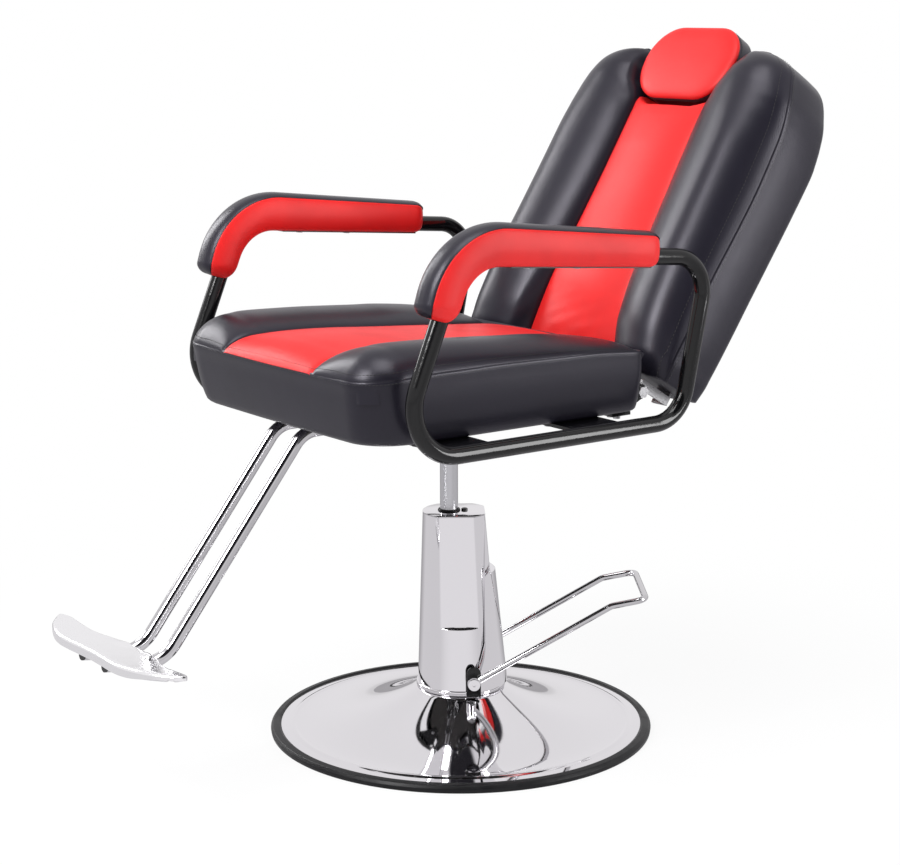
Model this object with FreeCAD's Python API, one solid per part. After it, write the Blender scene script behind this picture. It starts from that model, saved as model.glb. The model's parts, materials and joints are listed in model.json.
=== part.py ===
import FreeCAD, Part
import math
import os

# Hydraulic barber chair.
# Frame: millimetres, +Z up. The origin is on the floor under the swivel axis.
# The sitter faces -Y, and the sitter's left hand is on the +X side.

V = FreeCAD.Vector
X_AXIS = V(1, 0, 0)
Y_AXIS = V(0, 1, 0)
Z_AXIS = V(0, 0, 1)

# Clearances and fits
FREE = 0.3                     # between soft pieces and what they lie on
RUN = 0.05                     # radial, a shaft turning or sliding in its bore
HOLE = 0.3                     # radial, a bolt in its hole
SIDE = 0.5                     # sideways, between plates that turn past each other

# Base: a chromed dish with a rubber rim, turned under the seat
BASE_TURN = 35.0               # degrees, clockwise from above, pedal away from straight back
BASE_SETBACK = 18.0            # the dish's centre lies this far towards the pedal
RING_RADIUS = 300.0
RING_WIDTH = 18.0
RING_HEIGHT = 10.0
RING_SLOPE = 4.0
DISH_SHEET = 2.5
DISH_RIM_HEIGHT = 10.0
DISH_FLAT_RADIUS = 235.0
DISH_FLAT_HEIGHT = 14.5
NECK_RADIUS = 70.0
NECK_HEIGHT = 69.0
STIFFENER_RADIUS = 66.0
STIFFENER_THICK = 6.0
FLANGE_THICK = 8.0
FLANGE_BOLT_CIRCLE = 52.0
FLANGE_BOLT_RADIUS = 4.0
FLANGE_BOLT_COUNT = 4
FLANGE_BOLT_TURN = 45.0

# Hydraulic pump
ROD_RADIUS = 14.0
CYLINDER_RADIUS = 26.0
CYLINDER_WALL = 4.0
CYLINDER_FOOT = 14.0           # height of the foot above the floor
CYLINDER_FLOOR = 10.0
CYLINDER_TOP = 340.0
BUSH_LENGTH = 22.0
PISTON_LENGTH = 26.0
PISTON_SEAL_WIDTH = 6.0
PISTON_SEAL_DEPTH = 3.0
PISTON_FLOOR_GAP = 14.0        # left under the piston at its lowest
LIFT_DOWN = 80.0               # travel down from the photographed height

# Chromed cover over the pump: a cone with three flats
COVER_FOOT_RADIUS = 67.5
COVER_TOP_RADIUS = 51.5
COVER_TOP_SETBACK = 10.5
COVER_TOP = 348.5
COVER_WALL = 2.0
COVER_SEAM_Y = 54.0            # behind this the rear shell begins
COVER_SEAM_FOOT_Y = 41.0
COVER_SEAM_BEND_Z = 150.0
COVER_REAR_RADIUS = 73.0       # the rear shell stands out more at its foot
FLAT_TOP_DEPTH = 7.0           # how far a flat lies inside the cone
SIDE_FLAT_FOOT = 175.0
REAR_FLAT_FOOT = 258.0
CAP_THICK = 1.5
CAP_SCREW_RADIUS = 3.0
CAP_SCREW_Y = 24.0
WIPER_WIDTH = 4.0
WIPER_HEIGHT = 3.0

# Foot pedal
PIVOT_Y = 36.0
PIVOT_Z = 94.5
PEDAL_ROD = 5.0                # radius of the bent bar
PEDAL_HALF_WIDTH = 80.0
PEDAL_KNEE_Y = 247.0
PEDAL_KNEE_Z = 216.0
PEDAL_END_Y = 300.0
PEDAL_END_Z = 226.0
PEDAL_KNEE_BEND = 26.0
PEDAL_END_BEND = 16.0
PEDAL_EYE_RADIUS = 10.0
PEDAL_SHAFT_RADIUS = 6.0
PEDAL_BOLT_HEAD = 9.0
PEDAL_BOLT_HEAD_HEIGHT = 6.0
PEDAL_SOCKET_RADIUS = 4.0
EAR_WIDTH = 22.0
EAR_TOP = 118.0
EAR_THICK = 4.0
CAM_HUB = 9.0
CAM_REACH = 22.0
CAM_RADIUS = 6.0
CAM_HALF_WIDTH = 7.0
CAM_GAP = 0.4
PLUNGER_RADIUS = 5.0
PLUNGER_HEAD_RADIUS = 8.0
PLUNGER_HEAD_THICK = 4.0
PLUNGER_LENGTH = 46.0
BLOCK_WIDTH = 40.0
BLOCK_DEPTH = 20.0
BLOCK_HEAD = 58.0              # height of the valve block's top
SPRING_WALL = 1.6

# Seat
SEAT_UNDER = 524.0
SEAT_FRONT = -328.0            # middle of the seam along the front
SEAT_REAR = 172.0
SEAT_HALF_WIDTH = 257.5
SEAT_CORNER = 62.0             # radius of the front corners, seen from above
SEAT_REAR_CORNER = 14.0
SEAT_BOW = 4.0                 # the front's middle stands this far before its ends
BOLSTER_X = 200.0              # where the bolster's crest lies
INSERT_HALF_WIDTH = 120.0
INSERT_THICK = 26.0
INSERT_CROWN = 6.0
INSERT_LEAST_CROWN = 0.5       # at the front edge
BOARD_THICK = 12.0
BOARD_SIDE_INSET = 21.5
BOARD_FRONT_INSET = 47.0
BOARD_REAR_INSET = 10.0
BOARD_CORNER = 56.0

# Swivel hub under the seat
HUB_RADIUS = 23.0
HUB_HEIGHT = 76.0              # from its foot up to the seat's underside
HUB_PLATE = 190.0
HUB_PLATE_THICK = 5.0
HUB_BOLT_SPACING = 150.0
HUB_BOLT_RADIUS = 4.0
HUB_BUSH_WALL = 3.0
GUSSET_THICK = 5.0
WASHER_RADIUS = 20.0
WASHER_THICK = 3.0
SHOULDER_RADIUS = 20.0
SHOULDER_HEIGHT = 6.0

# Arm frames: one closed loop of round tube on each side
ARM_GAP = 22.0                 # between the seat's side and the tube
ARM_TUBE = 12.5
ARM_WALL = 2.0
ARM_RAIL_DROP = 11.0           # from the seat's underside down to the rail's axis
ARM_RAIL_FRONT = -308.0        # where the rail line meets the front leg line
ARM_RAIL_REAR = 212.0
ARM_FRONT_LEAN = 22.5          # degrees from upright
ARM_REAR_LEAN = 12.1
ARM_TOP_RISE = 249.2           # of the top line over the swivel axis, from the seat's underside
ARM_TOP_FALL = 4.3             # degrees, down to the rear
ARM_BEND_LOW_FRONT = 72.0
ARM_BEND_LOW_REAR = 60.0
ARM_BEND_TOP_REAR = 56.0
ARM_BEND_TOP_FRONT = 60.0
ARM_TAB_FRONT_Y = -186.0
ARM_TAB_REAR_Y = 52.0
ARM_TAB_LENGTH = 88.0
ARM_TAB_THICK = 5.0
ARM_TAB_REACH = 92.0
ARM_BOLT_INSET = 24.0
ARM_BOLT_SPACING = 50.0
ARM_BOLT_RADIUS = 4.0

# Arm pads
PAD_HALF_WIDTH = 25.0
PAD_UNDER = 14.2               # from the tube's axis to the pad's underside
PAD_TIP_DROP = 73.2            # from the top line down to the pad's front tip
PAD_REAR_Y = 152.0
PAD_TIP_OVER = 38.0            # from the tube's axis to the pad's crown
PAD_FRONT_OVER = 38.5
PAD_TOP_OVER = 52.0
PAD_REAR_OVER = 37.0
PAD_OVER_BEND = 128.0
PAD_UNDER_BEND = 62.0
PAD_END_ROUND = 8.0
PAD_STRIP_THICK = 2.4
PAD_STRIP_HALF_WIDTH = 18.0
PAD_STRIP_FRONT = -120.0
PAD_STRIP_REAR = 135.0
PAD_SCREW_RADIUS = 2.5
PAD_SCREW_HEAD = 5.0
PAD_SCREW_LENGTH = 34.0
PAD_SCREW_Y = (-80.0, 10.0)

# Footrest
FOOT_TUBE = 9.5
FOOT_WALL = 1.5
FOOT_X = 34.0
FOOT_TUBE_START = -100.0
FOOT_TOP_Y = -286.0            # corner under the front of the seat
FOOT_LOW_Y = -525.0            # corner at the knee
FOOT_DROP = 313.0              # from the seat's underside down to the knee's corner
FOOT_END_Y = -613.0
FOOT_TILT = 9.5                # degrees, the footplate's front is higher
FOOT_TOP_BEND = 45.0
FOOT_LOW_BEND = 58.0
PLATE_HALF_LENGTH = 184.0
PLATE_SKIRT = 15.0
PLATE_END_SKIRT = 7.0
PLATE_SHEET = 4.0
PLATE_LIFT = 9.0               # the ends stand higher than the middle
# Front and rear edge of the footplate from its middle to its end: distance across, place
PLATE_FRONT = ((0, -617), (34, -619), (62, -622), (88, -623), (118, -617), (150, -604), (174, -587),
               (184, -577))
PLATE_REAR = ((0, -541), (44, -542), (64, -547), (88, -558), (120, -563), (160, -565), (184, -567))
PLUG_HEAD = 2.0
PLUG_DEPTH = 14.0
CLAMP_WIDTH = 140.0
CLAMP_LENGTH = 36.0
CLAMP_THICK = 3.0
CLAMP_Y = (-122.0, -190.0)
CLAMP_BOLT_X = 58.0
CLAMP_BOLT_RADIUS = 3.0
FOOT_SCREW_RADIUS = 2.5
FOOT_SCREW_HEAD = 5.0

# Recline hinge
HINGE_SETBACK = 33.0           # behind the seat
HINGE_RISE = 21.0              # above the seat's underside
HINGE_BOLT = 5.0
HINGE_BOSS = 12.0
HINGE_PLATE_X = 200.0          # inner face of the backrest's arm
HINGE_ARM_THICK = 5.0
BRACKET_THICK = 5.0
BRACKET_FLANGE = 32.0
BRACKET_REACH = 46.0           # under the seat, from its rear edge
BRACKET_REAR = 6.0             # foot of the web's slope, behind the seat
BRACKET_BOLT_REACH = 32.0
BRACKET_BOLT_RADIUS = 3.0

# Backrest, in its own axes: u up the back, n out of its front face, from the hinge
BACK_LEAN = 32.0               # degrees from upright, as photographed
BACK_FOOT = 27.0
BOARD_REAR_N = -62.0
BACK_BOARD_THICK = 12.0
BACK_BOARD_INSET = 12.0
BACK_BOARD_STEP = 30.0         # narrower at the top by this on each side
BACK_BOARD_STEP_DROP = 60.0
PANEL_THICK = 22.0
PANEL_GAP = 0.4                # round the centre panel
PANEL_CROWN = 11.0
PANEL_TOP = 478.0
HINGE_ARM_WIDTH = 32.0
HINGE_ARM_TOP = 210.0
HINGE_ARM_FLANGE = 4.0
HINGE_SCREW_INSET = 20.0       # from the top of the arm
HINGE_SCREW_SPACING = 100.0

# Headrest
HEAD_FOOT = 491.0
HEAD_TOP = 622.0
HEAD_HALF_WIDTH = 111.0
HEAD_FOOT_HALF_WIDTH = 100.0
HEAD_CORNER = 62.0
HEAD_REAR = -21.0
HEAD_FRONT = 26.0
HEAD_BASE_THICK = 26.0
POST_RADIUS = 5.0
POST_X = 45.0
POST_N = -38.0
POST_HOLD = 102.0              # length left in the socket at full height
SOCKET_WALL = 2.0
SOCKET_FOOT = 330.0
SOCKET_TOP = 552.0
SOCKET_PLATE = 7.0
POST_BLOCK_GAP = 4.0           # above the top of the backrest
POST_BLOCK_HEIGHT = 20.0
POST_BLOCK_HALF_WIDTH = 60.0
HEAD_RAISE = 50.0              # travel of the headrest

# Recline lever, on the sitter's right
LEVER_GAP = 5.5                # between the seat's side and the lever
LEVER_THICK = 8.0
LEVER_LENGTH = 118.0
LEVER_HUB = 10.0
LEVER_WIDTH = 14.0
GRIP_LENGTH = 70.0
GRIP_WALL = 2.0

# Places that follow from these sizes
PISTON_REST = CYLINDER_FOOT + CYLINDER_FLOOR + PISTON_FLOOR_GAP + LIFT_DOWN
BOARD_HALF_WIDTH = SEAT_HALF_WIDTH - BOARD_SIDE_INSET
BOARD_FRONT = SEAT_FRONT + BOARD_FRONT_INSET
BOARD_REAR = SEAT_REAR - BOARD_REAR_INSET
HUB_FOOT = SEAT_UNDER - HUB_HEIGHT
ARM_X = SEAT_HALF_WIDTH + ARM_GAP + ARM_TUBE
ARM_RAIL_Z = SEAT_UNDER - ARM_RAIL_DROP
ARM_TOP_Z = SEAT_UNDER + ARM_TOP_RISE
PAD_TIP_Z = ARM_TOP_Z - PAD_TIP_DROP
FOOT_LOW_Z = SEAT_UNDER - FOOT_DROP
HINGE_Y = SEAT_REAR + HINGE_SETBACK
HINGE_Z = SEAT_UNDER + HINGE_RISE
BRACKET_FRONT = SEAT_REAR - BRACKET_REACH
POST_FOOT = SOCKET_TOP - HEAD_RAISE - POST_HOLD
LEVER_X = SEAT_HALF_WIDTH + LEVER_GAP + LEVER_THICK / 2

os.makedirs("parts", exist_ok=True)


# Small builders

def save(shape, node):
    shape.exportStep("parts/%s.step" % node)


def cylinder(radius, length, foot, axis=Z_AXIS):
    return Part.makeCylinder(radius, length, foot, axis)


def box(low, high):
    return Part.makeBox(high.x - low.x, high.y - low.y, high.z - low.z, low)


def line(a, b):
    return Part.LineSegment(a, b).toShape()


def arc(a, middle, b):
    return Part.Arc(a, middle, b).toShape()


def polygon_face(points):
    return Part.Face(Part.makePolygon(list(points) + [points[0]]))


def loft(wires):
    return Part.makeLoft(wires, True, False)


def fuse(shapes):
    return shapes[0].fuse(shapes[1:]).removeSplitter()


def group(shapes):
    return Part.makeCompound(shapes)


def mirrored(shape):
    """The same piece on the other side of the chair."""
    return shape.mirror(V(0, 0, 0), X_AXIS)


def both_sides(shape):
    return [shape, mirrored(shape)]


def smooth(x, low, high):
    """Rises from 0 at low to 1 at high, level at both ends."""
    t = min(max((x - low) / (high - low), 0.0), 1.0)
    return t * t * (3 - 2 * t)


def between(table, x):
    """Smooth curve through a table of (place, value) pairs, with no overshoot."""
    if x <= table[0][0]:
        return float(table[0][1])
    if x >= table[-1][0]:
        return float(table[-1][1])
    rises = [(b[1] - a[1]) / (b[0] - a[0]) for a, b in zip(table, table[1:])]
    bends = [rises[0]]
    for before, after in zip(rises, rises[1:]):
        bends.append(2 * before * after / (before + after) if before * after > 0 else 0.0)
    bends.append(rises[-1])
    for i, ((x0, y0), (x1, y1)) in enumerate(zip(table, table[1:])):
        if x <= x1:
            break
    span = x1 - x0
    t = (x - x0) / span
    start = (1 + 2 * t) * (1 - t) ** 2 * y0 + t * (1 - t) ** 2 * span * bends[i]
    return start + t * t * (3 - 2 * t) * y1 + t * t * (t - 1) * span * bends[i + 1]


def rounded_path(corners, radii, closed=False):
    """Straight runs joined by tangent arcs, one radius for each inner corner."""
    count = len(corners)
    edges = []
    starts = []
    ends = []
    for i, corner in enumerate(corners):
        if not closed and i in (0, count - 1):
            starts.append(corner)
            ends.append(corner)
            continue
        into = (corner - corners[i - 1]).normalize()
        out = (corners[(i + 1) % count] - corner).normalize()
        turn = into.getAngle(out)
        reach = radii[i] * math.tan(turn / 2)
        starts.append(corner - into * reach)
        ends.append(corner + out * reach)
    for i, corner in enumerate(corners):
        if starts[i] != ends[i]:
            across = (starts[i] + ends[i]) * 0.5 - corner
            half = (starts[i] - ends[i]).Length / 2
            to_centre = math.hypot(radii[i], (starts[i] - corner).Length)
            middle = corner + across.normalize() * (to_centre - radii[i])
            if half > 1e-6:
                edges.append(arc(starts[i], middle, ends[i]))
        following = (i + 1) % count
        if closed or i < count - 1:
            edges.append(line(ends[i], starts[following]))
    return edges


def sweep(edges, radius):
    """A round bar along connected edges."""
    path = Part.Wire(edges)
    first = edges[0]
    start = first.valueAt(first.FirstParameter)
    heading = first.tangentAt(first.FirstParameter)
    ring = Part.Wire([Part.makeCircle(radius, start, heading)])
    return path.makePipeShell([ring], True, False)


def tube(edges, radius, wall):
    return sweep(edges, radius).cut(sweep(edges, radius - wall))


def hex_socket(radius, depth, foot, axis):
    """A hexagonal prism for a socket head's recess."""
    side = V(axis.y, axis.z, axis.x).cross(axis).normalize()
    points = []
    for i in range(6):
        turn = FreeCAD.Rotation(axis, 60 * i)
        points.append(foot + turn.multVec(side) * radius)
    return polygon_face(points).extrude(axis * depth)


def bolt(radius, length, head_radius, head_height, under_head, axis):
    """A bolt whose shank runs against axis from the underside of its head."""
    head = cylinder(head_radius, head_height, under_head, axis)
    shank = cylinder(radius, length, under_head, axis * -1)
    recess = hex_socket(radius * 0.8, head_height / 2, under_head + axis * (head_height / 2), axis)
    return head.fuse(shank).removeSplitter().cut(recess)


# Frame of the base: built with the pedal straight back, then turned under the seat

def turned_base(shape):
    shape = shape.copy()
    shape.rotate(V(0, 0, 0), Z_AXIS, -BASE_TURN)
    return shape


def base_centre(z):
    return V(0, BASE_SETBACK, z)


# Base dish and rim

dish_rim_radius = RING_RADIUS - RING_WIDTH + 6
flat_slope = math.atan2(DISH_FLAT_HEIGHT - DISH_RIM_HEIGHT, dish_rim_radius - DISH_FLAT_RADIUS)


def dish_profile(offset):
    """Half section of the dish's top surface, moved down by offset."""
    run = DISH_FLAT_RADIUS - NECK_RADIUS
    rise = NECK_HEIGHT - DISH_FLAT_HEIGHT
    radius = (run ** 2 + rise ** 2) / (2 * (rise * math.cos(flat_slope) - run * math.sin(flat_slope)))
    centre_r = DISH_FLAT_RADIUS + radius * math.sin(flat_slope)
    centre_z = DISH_FLAT_HEIGHT + radius * math.cos(flat_slope)
    start = math.atan2(NECK_HEIGHT - centre_z, NECK_RADIUS - centre_r)
    end = math.atan2(DISH_FLAT_HEIGHT - centre_z, DISH_FLAT_RADIUS - centre_r)
    middle = (start + end) / 2
    grown = radius + offset
    points = []
    for turn in (start, middle, end):
        points.append(V(centre_r + grown * math.cos(turn), 0, centre_z + grown * math.sin(turn)))
    rim = V(dish_rim_radius, 0, DISH_RIM_HEIGHT - offset / math.cos(flat_slope))
    return points, rim


top_points, top_rim = dish_profile(0.0)
under_points, under_rim = dish_profile(DISH_SHEET)
hub_bore = CYLINDER_RADIUS + HOLE
neck_inner = V(STIFFENER_RADIUS * 0.4, 0, NECK_HEIGHT)
neck_under = V(neck_inner.x, 0, NECK_HEIGHT - DISH_SHEET)
dish_wire = Part.Wire([
    line(neck_inner, top_points[0]),
    arc(*top_points),
    line(top_points[2], top_rim),
    line(top_rim, under_rim),
    line(under_rim, under_points[2]),
    arc(under_points[2], under_points[1], under_points[0]),
    line(under_points[0], neck_under),
    line(neck_under, neck_inner)])
dish = Part.Face(dish_wire).revolve(V(0, 0, 0), Z_AXIS, 360)
dish.translate(base_centre(0))

ring_inner = RING_RADIUS - RING_WIDTH
ring_outline = polygon_face([
    V(ring_inner, 0, 0),
    V(RING_RADIUS, 0, 0),
    V(RING_RADIUS, 0, RING_HEIGHT - RING_SLOPE),
    V(RING_RADIUS - RING_SLOPE, 0, RING_HEIGHT + 1),
    V(ring_inner, 0, RING_HEIGHT + 2)])
edge_ring = ring_outline.revolve(V(0, 0, 0), Z_AXIS, 360)
edge_ring.translate(base_centre(0))
edge_ring = edge_ring.cut(dish)


def at_bolt_circle(shape):
    """Copies of a shape at the flange's bolts, about the dish's centre."""
    copies = []
    for i in range(FLANGE_BOLT_COUNT):
        copy = shape.copy()
        copy.rotate(base_centre(0), Z_AXIS, FLANGE_BOLT_TURN + 360.0 * i / FLANGE_BOLT_COUNT)
        copies.append(copy)
    return copies


flange_foot = NECK_HEIGHT
cam_nose_y = PIVOT_Y + CAM_REACH
stiffener_top = NECK_HEIGHT - DISH_SHEET
bolt_top = V(FLANGE_BOLT_CIRCLE, BASE_SETBACK, flange_foot + FLANGE_THICK)
bolt_length = FLANGE_THICK + DISH_SHEET + STIFFENER_THICK
bolt_hole = cylinder(FLANGE_BOLT_RADIUS + HOLE, 60, bolt_top - V(0, 0, 50))
bolt_holes = at_bolt_circle(bolt_hole)
cylinder_hole = cylinder(hub_bore, 60, V(0, 0, NECK_HEIGHT - 40))
plunger_hole = cylinder(PLUNGER_HEAD_RADIUS + 1.5, 60, V(0, cam_nose_y, NECK_HEIGHT - 40))
flange_bolts = at_bolt_circle(bolt(FLANGE_BOLT_RADIUS, bolt_length, 7.0, 5.0, bolt_top, Z_AXIS))

dish = dish.cut([cylinder_hole, plunger_hole] + bolt_holes)
stiffener = cylinder(STIFFENER_RADIUS - 4, STIFFENER_THICK, base_centre(stiffener_top - STIFFENER_THICK))
stiffener = stiffener.cut([cylinder_hole, plunger_hole])
stiffener = stiffener.cut(at_bolt_circle(cylinder(FLANGE_BOLT_RADIUS, 60, bolt_top - V(0, 0, 50))))
flange = cylinder(NECK_RADIUS, FLANGE_THICK, base_centre(flange_foot))
weld_bore = cylinder(CYLINDER_RADIUS, 60, V(0, 0, NECK_HEIGHT - 40))
flange = flange.cut([weld_bore, plunger_hole] + bolt_holes)

save(turned_base(dish), "base_dish")
save(turned_base(edge_ring), "base_edge_ring")
save(turned_base(stiffener), "base_stiffener")
save(turned_base(flange), "pump_flange")
save(turned_base(group(flange_bolts)), "flange_bolts")

# Hydraulic cylinder, guide bush and wiper

cylinder_bore = CYLINDER_RADIUS - CYLINDER_WALL
cylinder_floor = CYLINDER_FOOT + CYLINDER_FLOOR
barrel = cylinder(CYLINDER_RADIUS, CYLINDER_TOP - CYLINDER_FOOT, V(0, 0, CYLINDER_FOOT))
barrel = barrel.cut(cylinder(cylinder_bore, CYLINDER_TOP, V(0, 0, cylinder_floor)))
bush = cylinder(cylinder_bore, BUSH_LENGTH, V(0, 0, CYLINDER_TOP - BUSH_LENGTH))
bush = bush.cut(cylinder(ROD_RADIUS + RUN, CYLINDER_TOP, V(0, 0, CYLINDER_FOOT)))
cap_under = COVER_TOP
wiper = cylinder(ROD_RADIUS + WIPER_WIDTH, WIPER_HEIGHT, V(0, 0, cap_under + CAP_THICK))
wiper = wiper.cut(cylinder(ROD_RADIUS + RUN, 40, V(0, 0, cap_under)))

save(turned_base(barrel), "pump_cylinder")
save(turned_base(bush), "guide_bush")
save(turned_base(wiper), "rod_wiper")

# Cover over the pump: front and rear shells, and the cap

cover_foot = flange_foot + FLANGE_THICK


def cover_cone(inset, foot_radius):
    """The cone that the cover follows, its surface moved in by inset."""
    low = Part.Wire([Part.makeCircle(foot_radius - inset, base_centre(cover_foot))])
    high = Part.Wire([Part.makeCircle(COVER_TOP_RADIUS - inset, V(0, COVER_TOP_SETBACK, COVER_TOP))])
    return Part.makeLoft([low, high], True, True)


def cone_radius(z):
    share = (z - cover_foot) / (COVER_TOP - cover_foot)
    return COVER_FOOT_RADIUS + (COVER_TOP_RADIUS - COVER_FOOT_RADIUS) * share


def cone_setback(z):
    share = (z - cover_foot) / (COVER_TOP - cover_foot)
    return BASE_SETBACK + (COVER_TOP_SETBACK - BASE_SETBACK) * share


def flat_cutter(toward, flat_foot, inset):
    """What a flat takes off the cone, from its ledge up, on the side that toward points to."""
    far = COVER_FOOT_RADIUS * 2
    across = Z_AXIS.cross(toward)
    ledge = flat_foot - inset
    low = V(0, cone_setback(ledge), ledge) + toward * (cone_radius(ledge) - FLAT_TOP_DEPTH - inset)
    high = V(0, COVER_TOP_SETBACK, COVER_TOP) + toward * (COVER_TOP_RADIUS - FLAT_TOP_DEPTH - inset)
    climb = high - low
    high = high + climb * 0.1
    outer_low = low + toward * far
    outer_high = high + toward * far
    side = across * far
    face = polygon_face([low - side, high - side, outer_high - side, outer_low - side])
    return face.extrude(side * 2)


def cover_solid(inset, foot_radius):
    body = cover_cone(inset, foot_radius)
    for toward, foot in ((X_AXIS, SIDE_FLAT_FOOT), (X_AXIS * -1, SIDE_FLAT_FOOT), (Y_AXIS, REAR_FLAT_FOOT)):
        body = body.cut(flat_cutter(toward, foot, inset))
    return body


def seam_room(shift):
    """Everything behind the seam between the two shells, the seam moved back by shift."""
    outline = polygon_face([
        V(-far, COVER_SEAM_FOOT_Y + shift, 0),
        V(-far, COVER_SEAM_FOOT_Y + shift, PIVOT_Z + PEDAL_EYE_RADIUS),
        V(-far, COVER_SEAM_Y + shift, COVER_SEAM_BEND_Z),
        V(-far, COVER_SEAM_Y + shift, COVER_TOP + 1),
        V(-far, far, COVER_TOP + 1),
        V(-far, far, 0)])
    return outline.extrude(V(far * 2, 0, 0))


far = RING_RADIUS
seam_gap = FREE / 2
shaft_slot = cylinder(PEDAL_SHAFT_RADIUS + 1.5, far, V(-far / 2, PIVOT_Y, PIVOT_Z), X_AXIS)
front_shell = cover_solid(0.0, COVER_FOOT_RADIUS).cut(cover_solid(COVER_WALL, COVER_FOOT_RADIUS))
rear_shell = cover_solid(0.0, COVER_REAR_RADIUS).cut(cover_solid(COVER_WALL, COVER_REAR_RADIUS))
cover_front = front_shell.cut([seam_room(-seam_gap), shaft_slot])
cover_rear = rear_shell.common(seam_room(seam_gap)).cut(shaft_slot)

cap_blank = cover_solid(0.0, COVER_FOOT_RADIUS)
cap_slice = cap_blank.common(box(V(-far, -far, COVER_TOP - 1.0), V(far, far, COVER_TOP)))
cap_section = cap_slice.Faces[0]
for face in cap_slice.Faces:
    if face.CenterOfMass.z > cap_section.CenterOfMass.z:
        cap_section = face
cap = cap_section.extrude(V(0, 0, CAP_THICK))
cap = cap.cut(cylinder(ROD_RADIUS + 1.0, 40, V(0, 0, COVER_TOP - 10)))
screw_seat = V(0, CAP_SCREW_Y, COVER_TOP + CAP_THICK)
cap = cap.cut(cylinder(CAP_SCREW_RADIUS + HOLE, 20, screw_seat - V(0, 0, 15)))
cap_screw = bolt(CAP_SCREW_RADIUS, COVER_TOP + CAP_THICK - CYLINDER_TOP, 5.0, 3.0, screw_seat, Z_AXIS)

save(turned_base(cover_front), "cover_front")
save(turned_base(cover_rear), "cover_rear")
save(turned_base(cap), "cover_cap")
save(turned_base(cap_screw), "cap_screw")

# Pedal ears, shaft and bent bar

ear_outer = PEDAL_HALF_WIDTH - PEDAL_ROD - SIDE
ear_inner = ear_outer - EAR_THICK
ear_round = EAR_TOP - EAR_WIDTH / 2
ear = box(V(ear_inner, PIVOT_Y - EAR_WIDTH / 2, cover_foot), V(ear_outer, PIVOT_Y + EAR_WIDTH / 2, ear_round))
ear = ear.fuse(cylinder(EAR_WIDTH / 2, EAR_THICK, V(ear_inner, PIVOT_Y, ear_round), X_AXIS))
ear_foot_inner = NECK_RADIUS * 0.84
ear_foot = box(V(ear_foot_inner, PIVOT_Y - EAR_WIDTH / 2, flange_foot - 0.001),
               V(ear_outer, PIVOT_Y + EAR_WIDTH / 2, cover_foot))
ear_foot = ear_foot.cut(cylinder(NECK_RADIUS, 40, base_centre(flange_foot - 20)))
ear = fuse([ear, ear_foot])
ear = ear.cut(cylinder(PEDAL_SHAFT_RADIUS + RUN, far, V(0, PIVOT_Y, PIVOT_Z), X_AXIS))
ears = both_sides(ear)

bar_path = []
for side in (1, -1):
    x = PEDAL_HALF_WIDTH * side
    ends = [V(x, PIVOT_Y, PIVOT_Z), V(x, PEDAL_KNEE_Y, PEDAL_KNEE_Z), V(x, PEDAL_END_Y, PEDAL_END_Z)]
    bar_path.extend(ends if side == 1 else reversed(ends))
bar_bends = [0, PEDAL_KNEE_BEND, PEDAL_END_BEND, PEDAL_END_BEND, PEDAL_KNEE_BEND, 0]
pedal_bar = sweep(rounded_path(bar_path, bar_bends), PEDAL_ROD)
eye = cylinder(PEDAL_EYE_RADIUS, PEDAL_ROD * 2, V(PEDAL_HALF_WIDTH - PEDAL_ROD, PIVOT_Y, PIVOT_Z), X_AXIS)
pedal_bar = fuse([pedal_bar] + both_sides(eye))
pedal_bar = pedal_bar.cut(cylinder(PEDAL_SHAFT_RADIUS, far * 2, V(-far, PIVOT_Y, PIVOT_Z), X_AXIS))

eye_outer = PEDAL_HALF_WIDTH + PEDAL_ROD
shaft_reach = eye_outer - 1.0
screw_radius = PEDAL_SOCKET_RADIUS
shaft = cylinder(PEDAL_SHAFT_RADIUS, shaft_reach * 2, V(-shaft_reach, PIVOT_Y, PIVOT_Z), X_AXIS)
screw_depth = 16.0
pedal_screw = bolt(screw_radius, screw_depth, PEDAL_BOLT_HEAD, PEDAL_BOLT_HEAD_HEIGHT,
                   V(eye_outer, PIVOT_Y, PIVOT_Z), X_AXIS)
tap = cylinder(screw_radius, screw_depth, V(eye_outer - screw_depth, PIVOT_Y, PIVOT_Z), X_AXIS)
shaft = shaft.cut(both_sides(tap))

cam_hub = cylinder(CAM_HUB, CAM_HALF_WIDTH * 2, V(-CAM_HALF_WIDTH, PIVOT_Y, PIVOT_Z), X_AXIS)
cam_nose = cylinder(CAM_RADIUS, CAM_HALF_WIDTH * 2, V(-CAM_HALF_WIDTH, cam_nose_y, PIVOT_Z), X_AXIS)
cam_arm = box(V(-CAM_HALF_WIDTH, PIVOT_Y, PIVOT_Z - CAM_RADIUS),
              V(CAM_HALF_WIDTH, cam_nose_y, PIVOT_Z + CAM_RADIUS))
cam_bore = cylinder(PEDAL_SHAFT_RADIUS, far, V(-far / 2, PIVOT_Y, PIVOT_Z), X_AXIS)
cam = fuse([cam_hub, cam_nose, cam_arm]).cut(cam_bore)

save(turned_base(group(ears)), "pedal_ears")
save(turned_base(pedal_bar), "pump_pedal")
save(turned_base(shaft), "pedal_shaft")
save(turned_base(cam), "pedal_cam")
save(turned_base(group(both_sides(pedal_screw))), "pedal_screws")

# Valve block, plunger and its return spring

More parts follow.
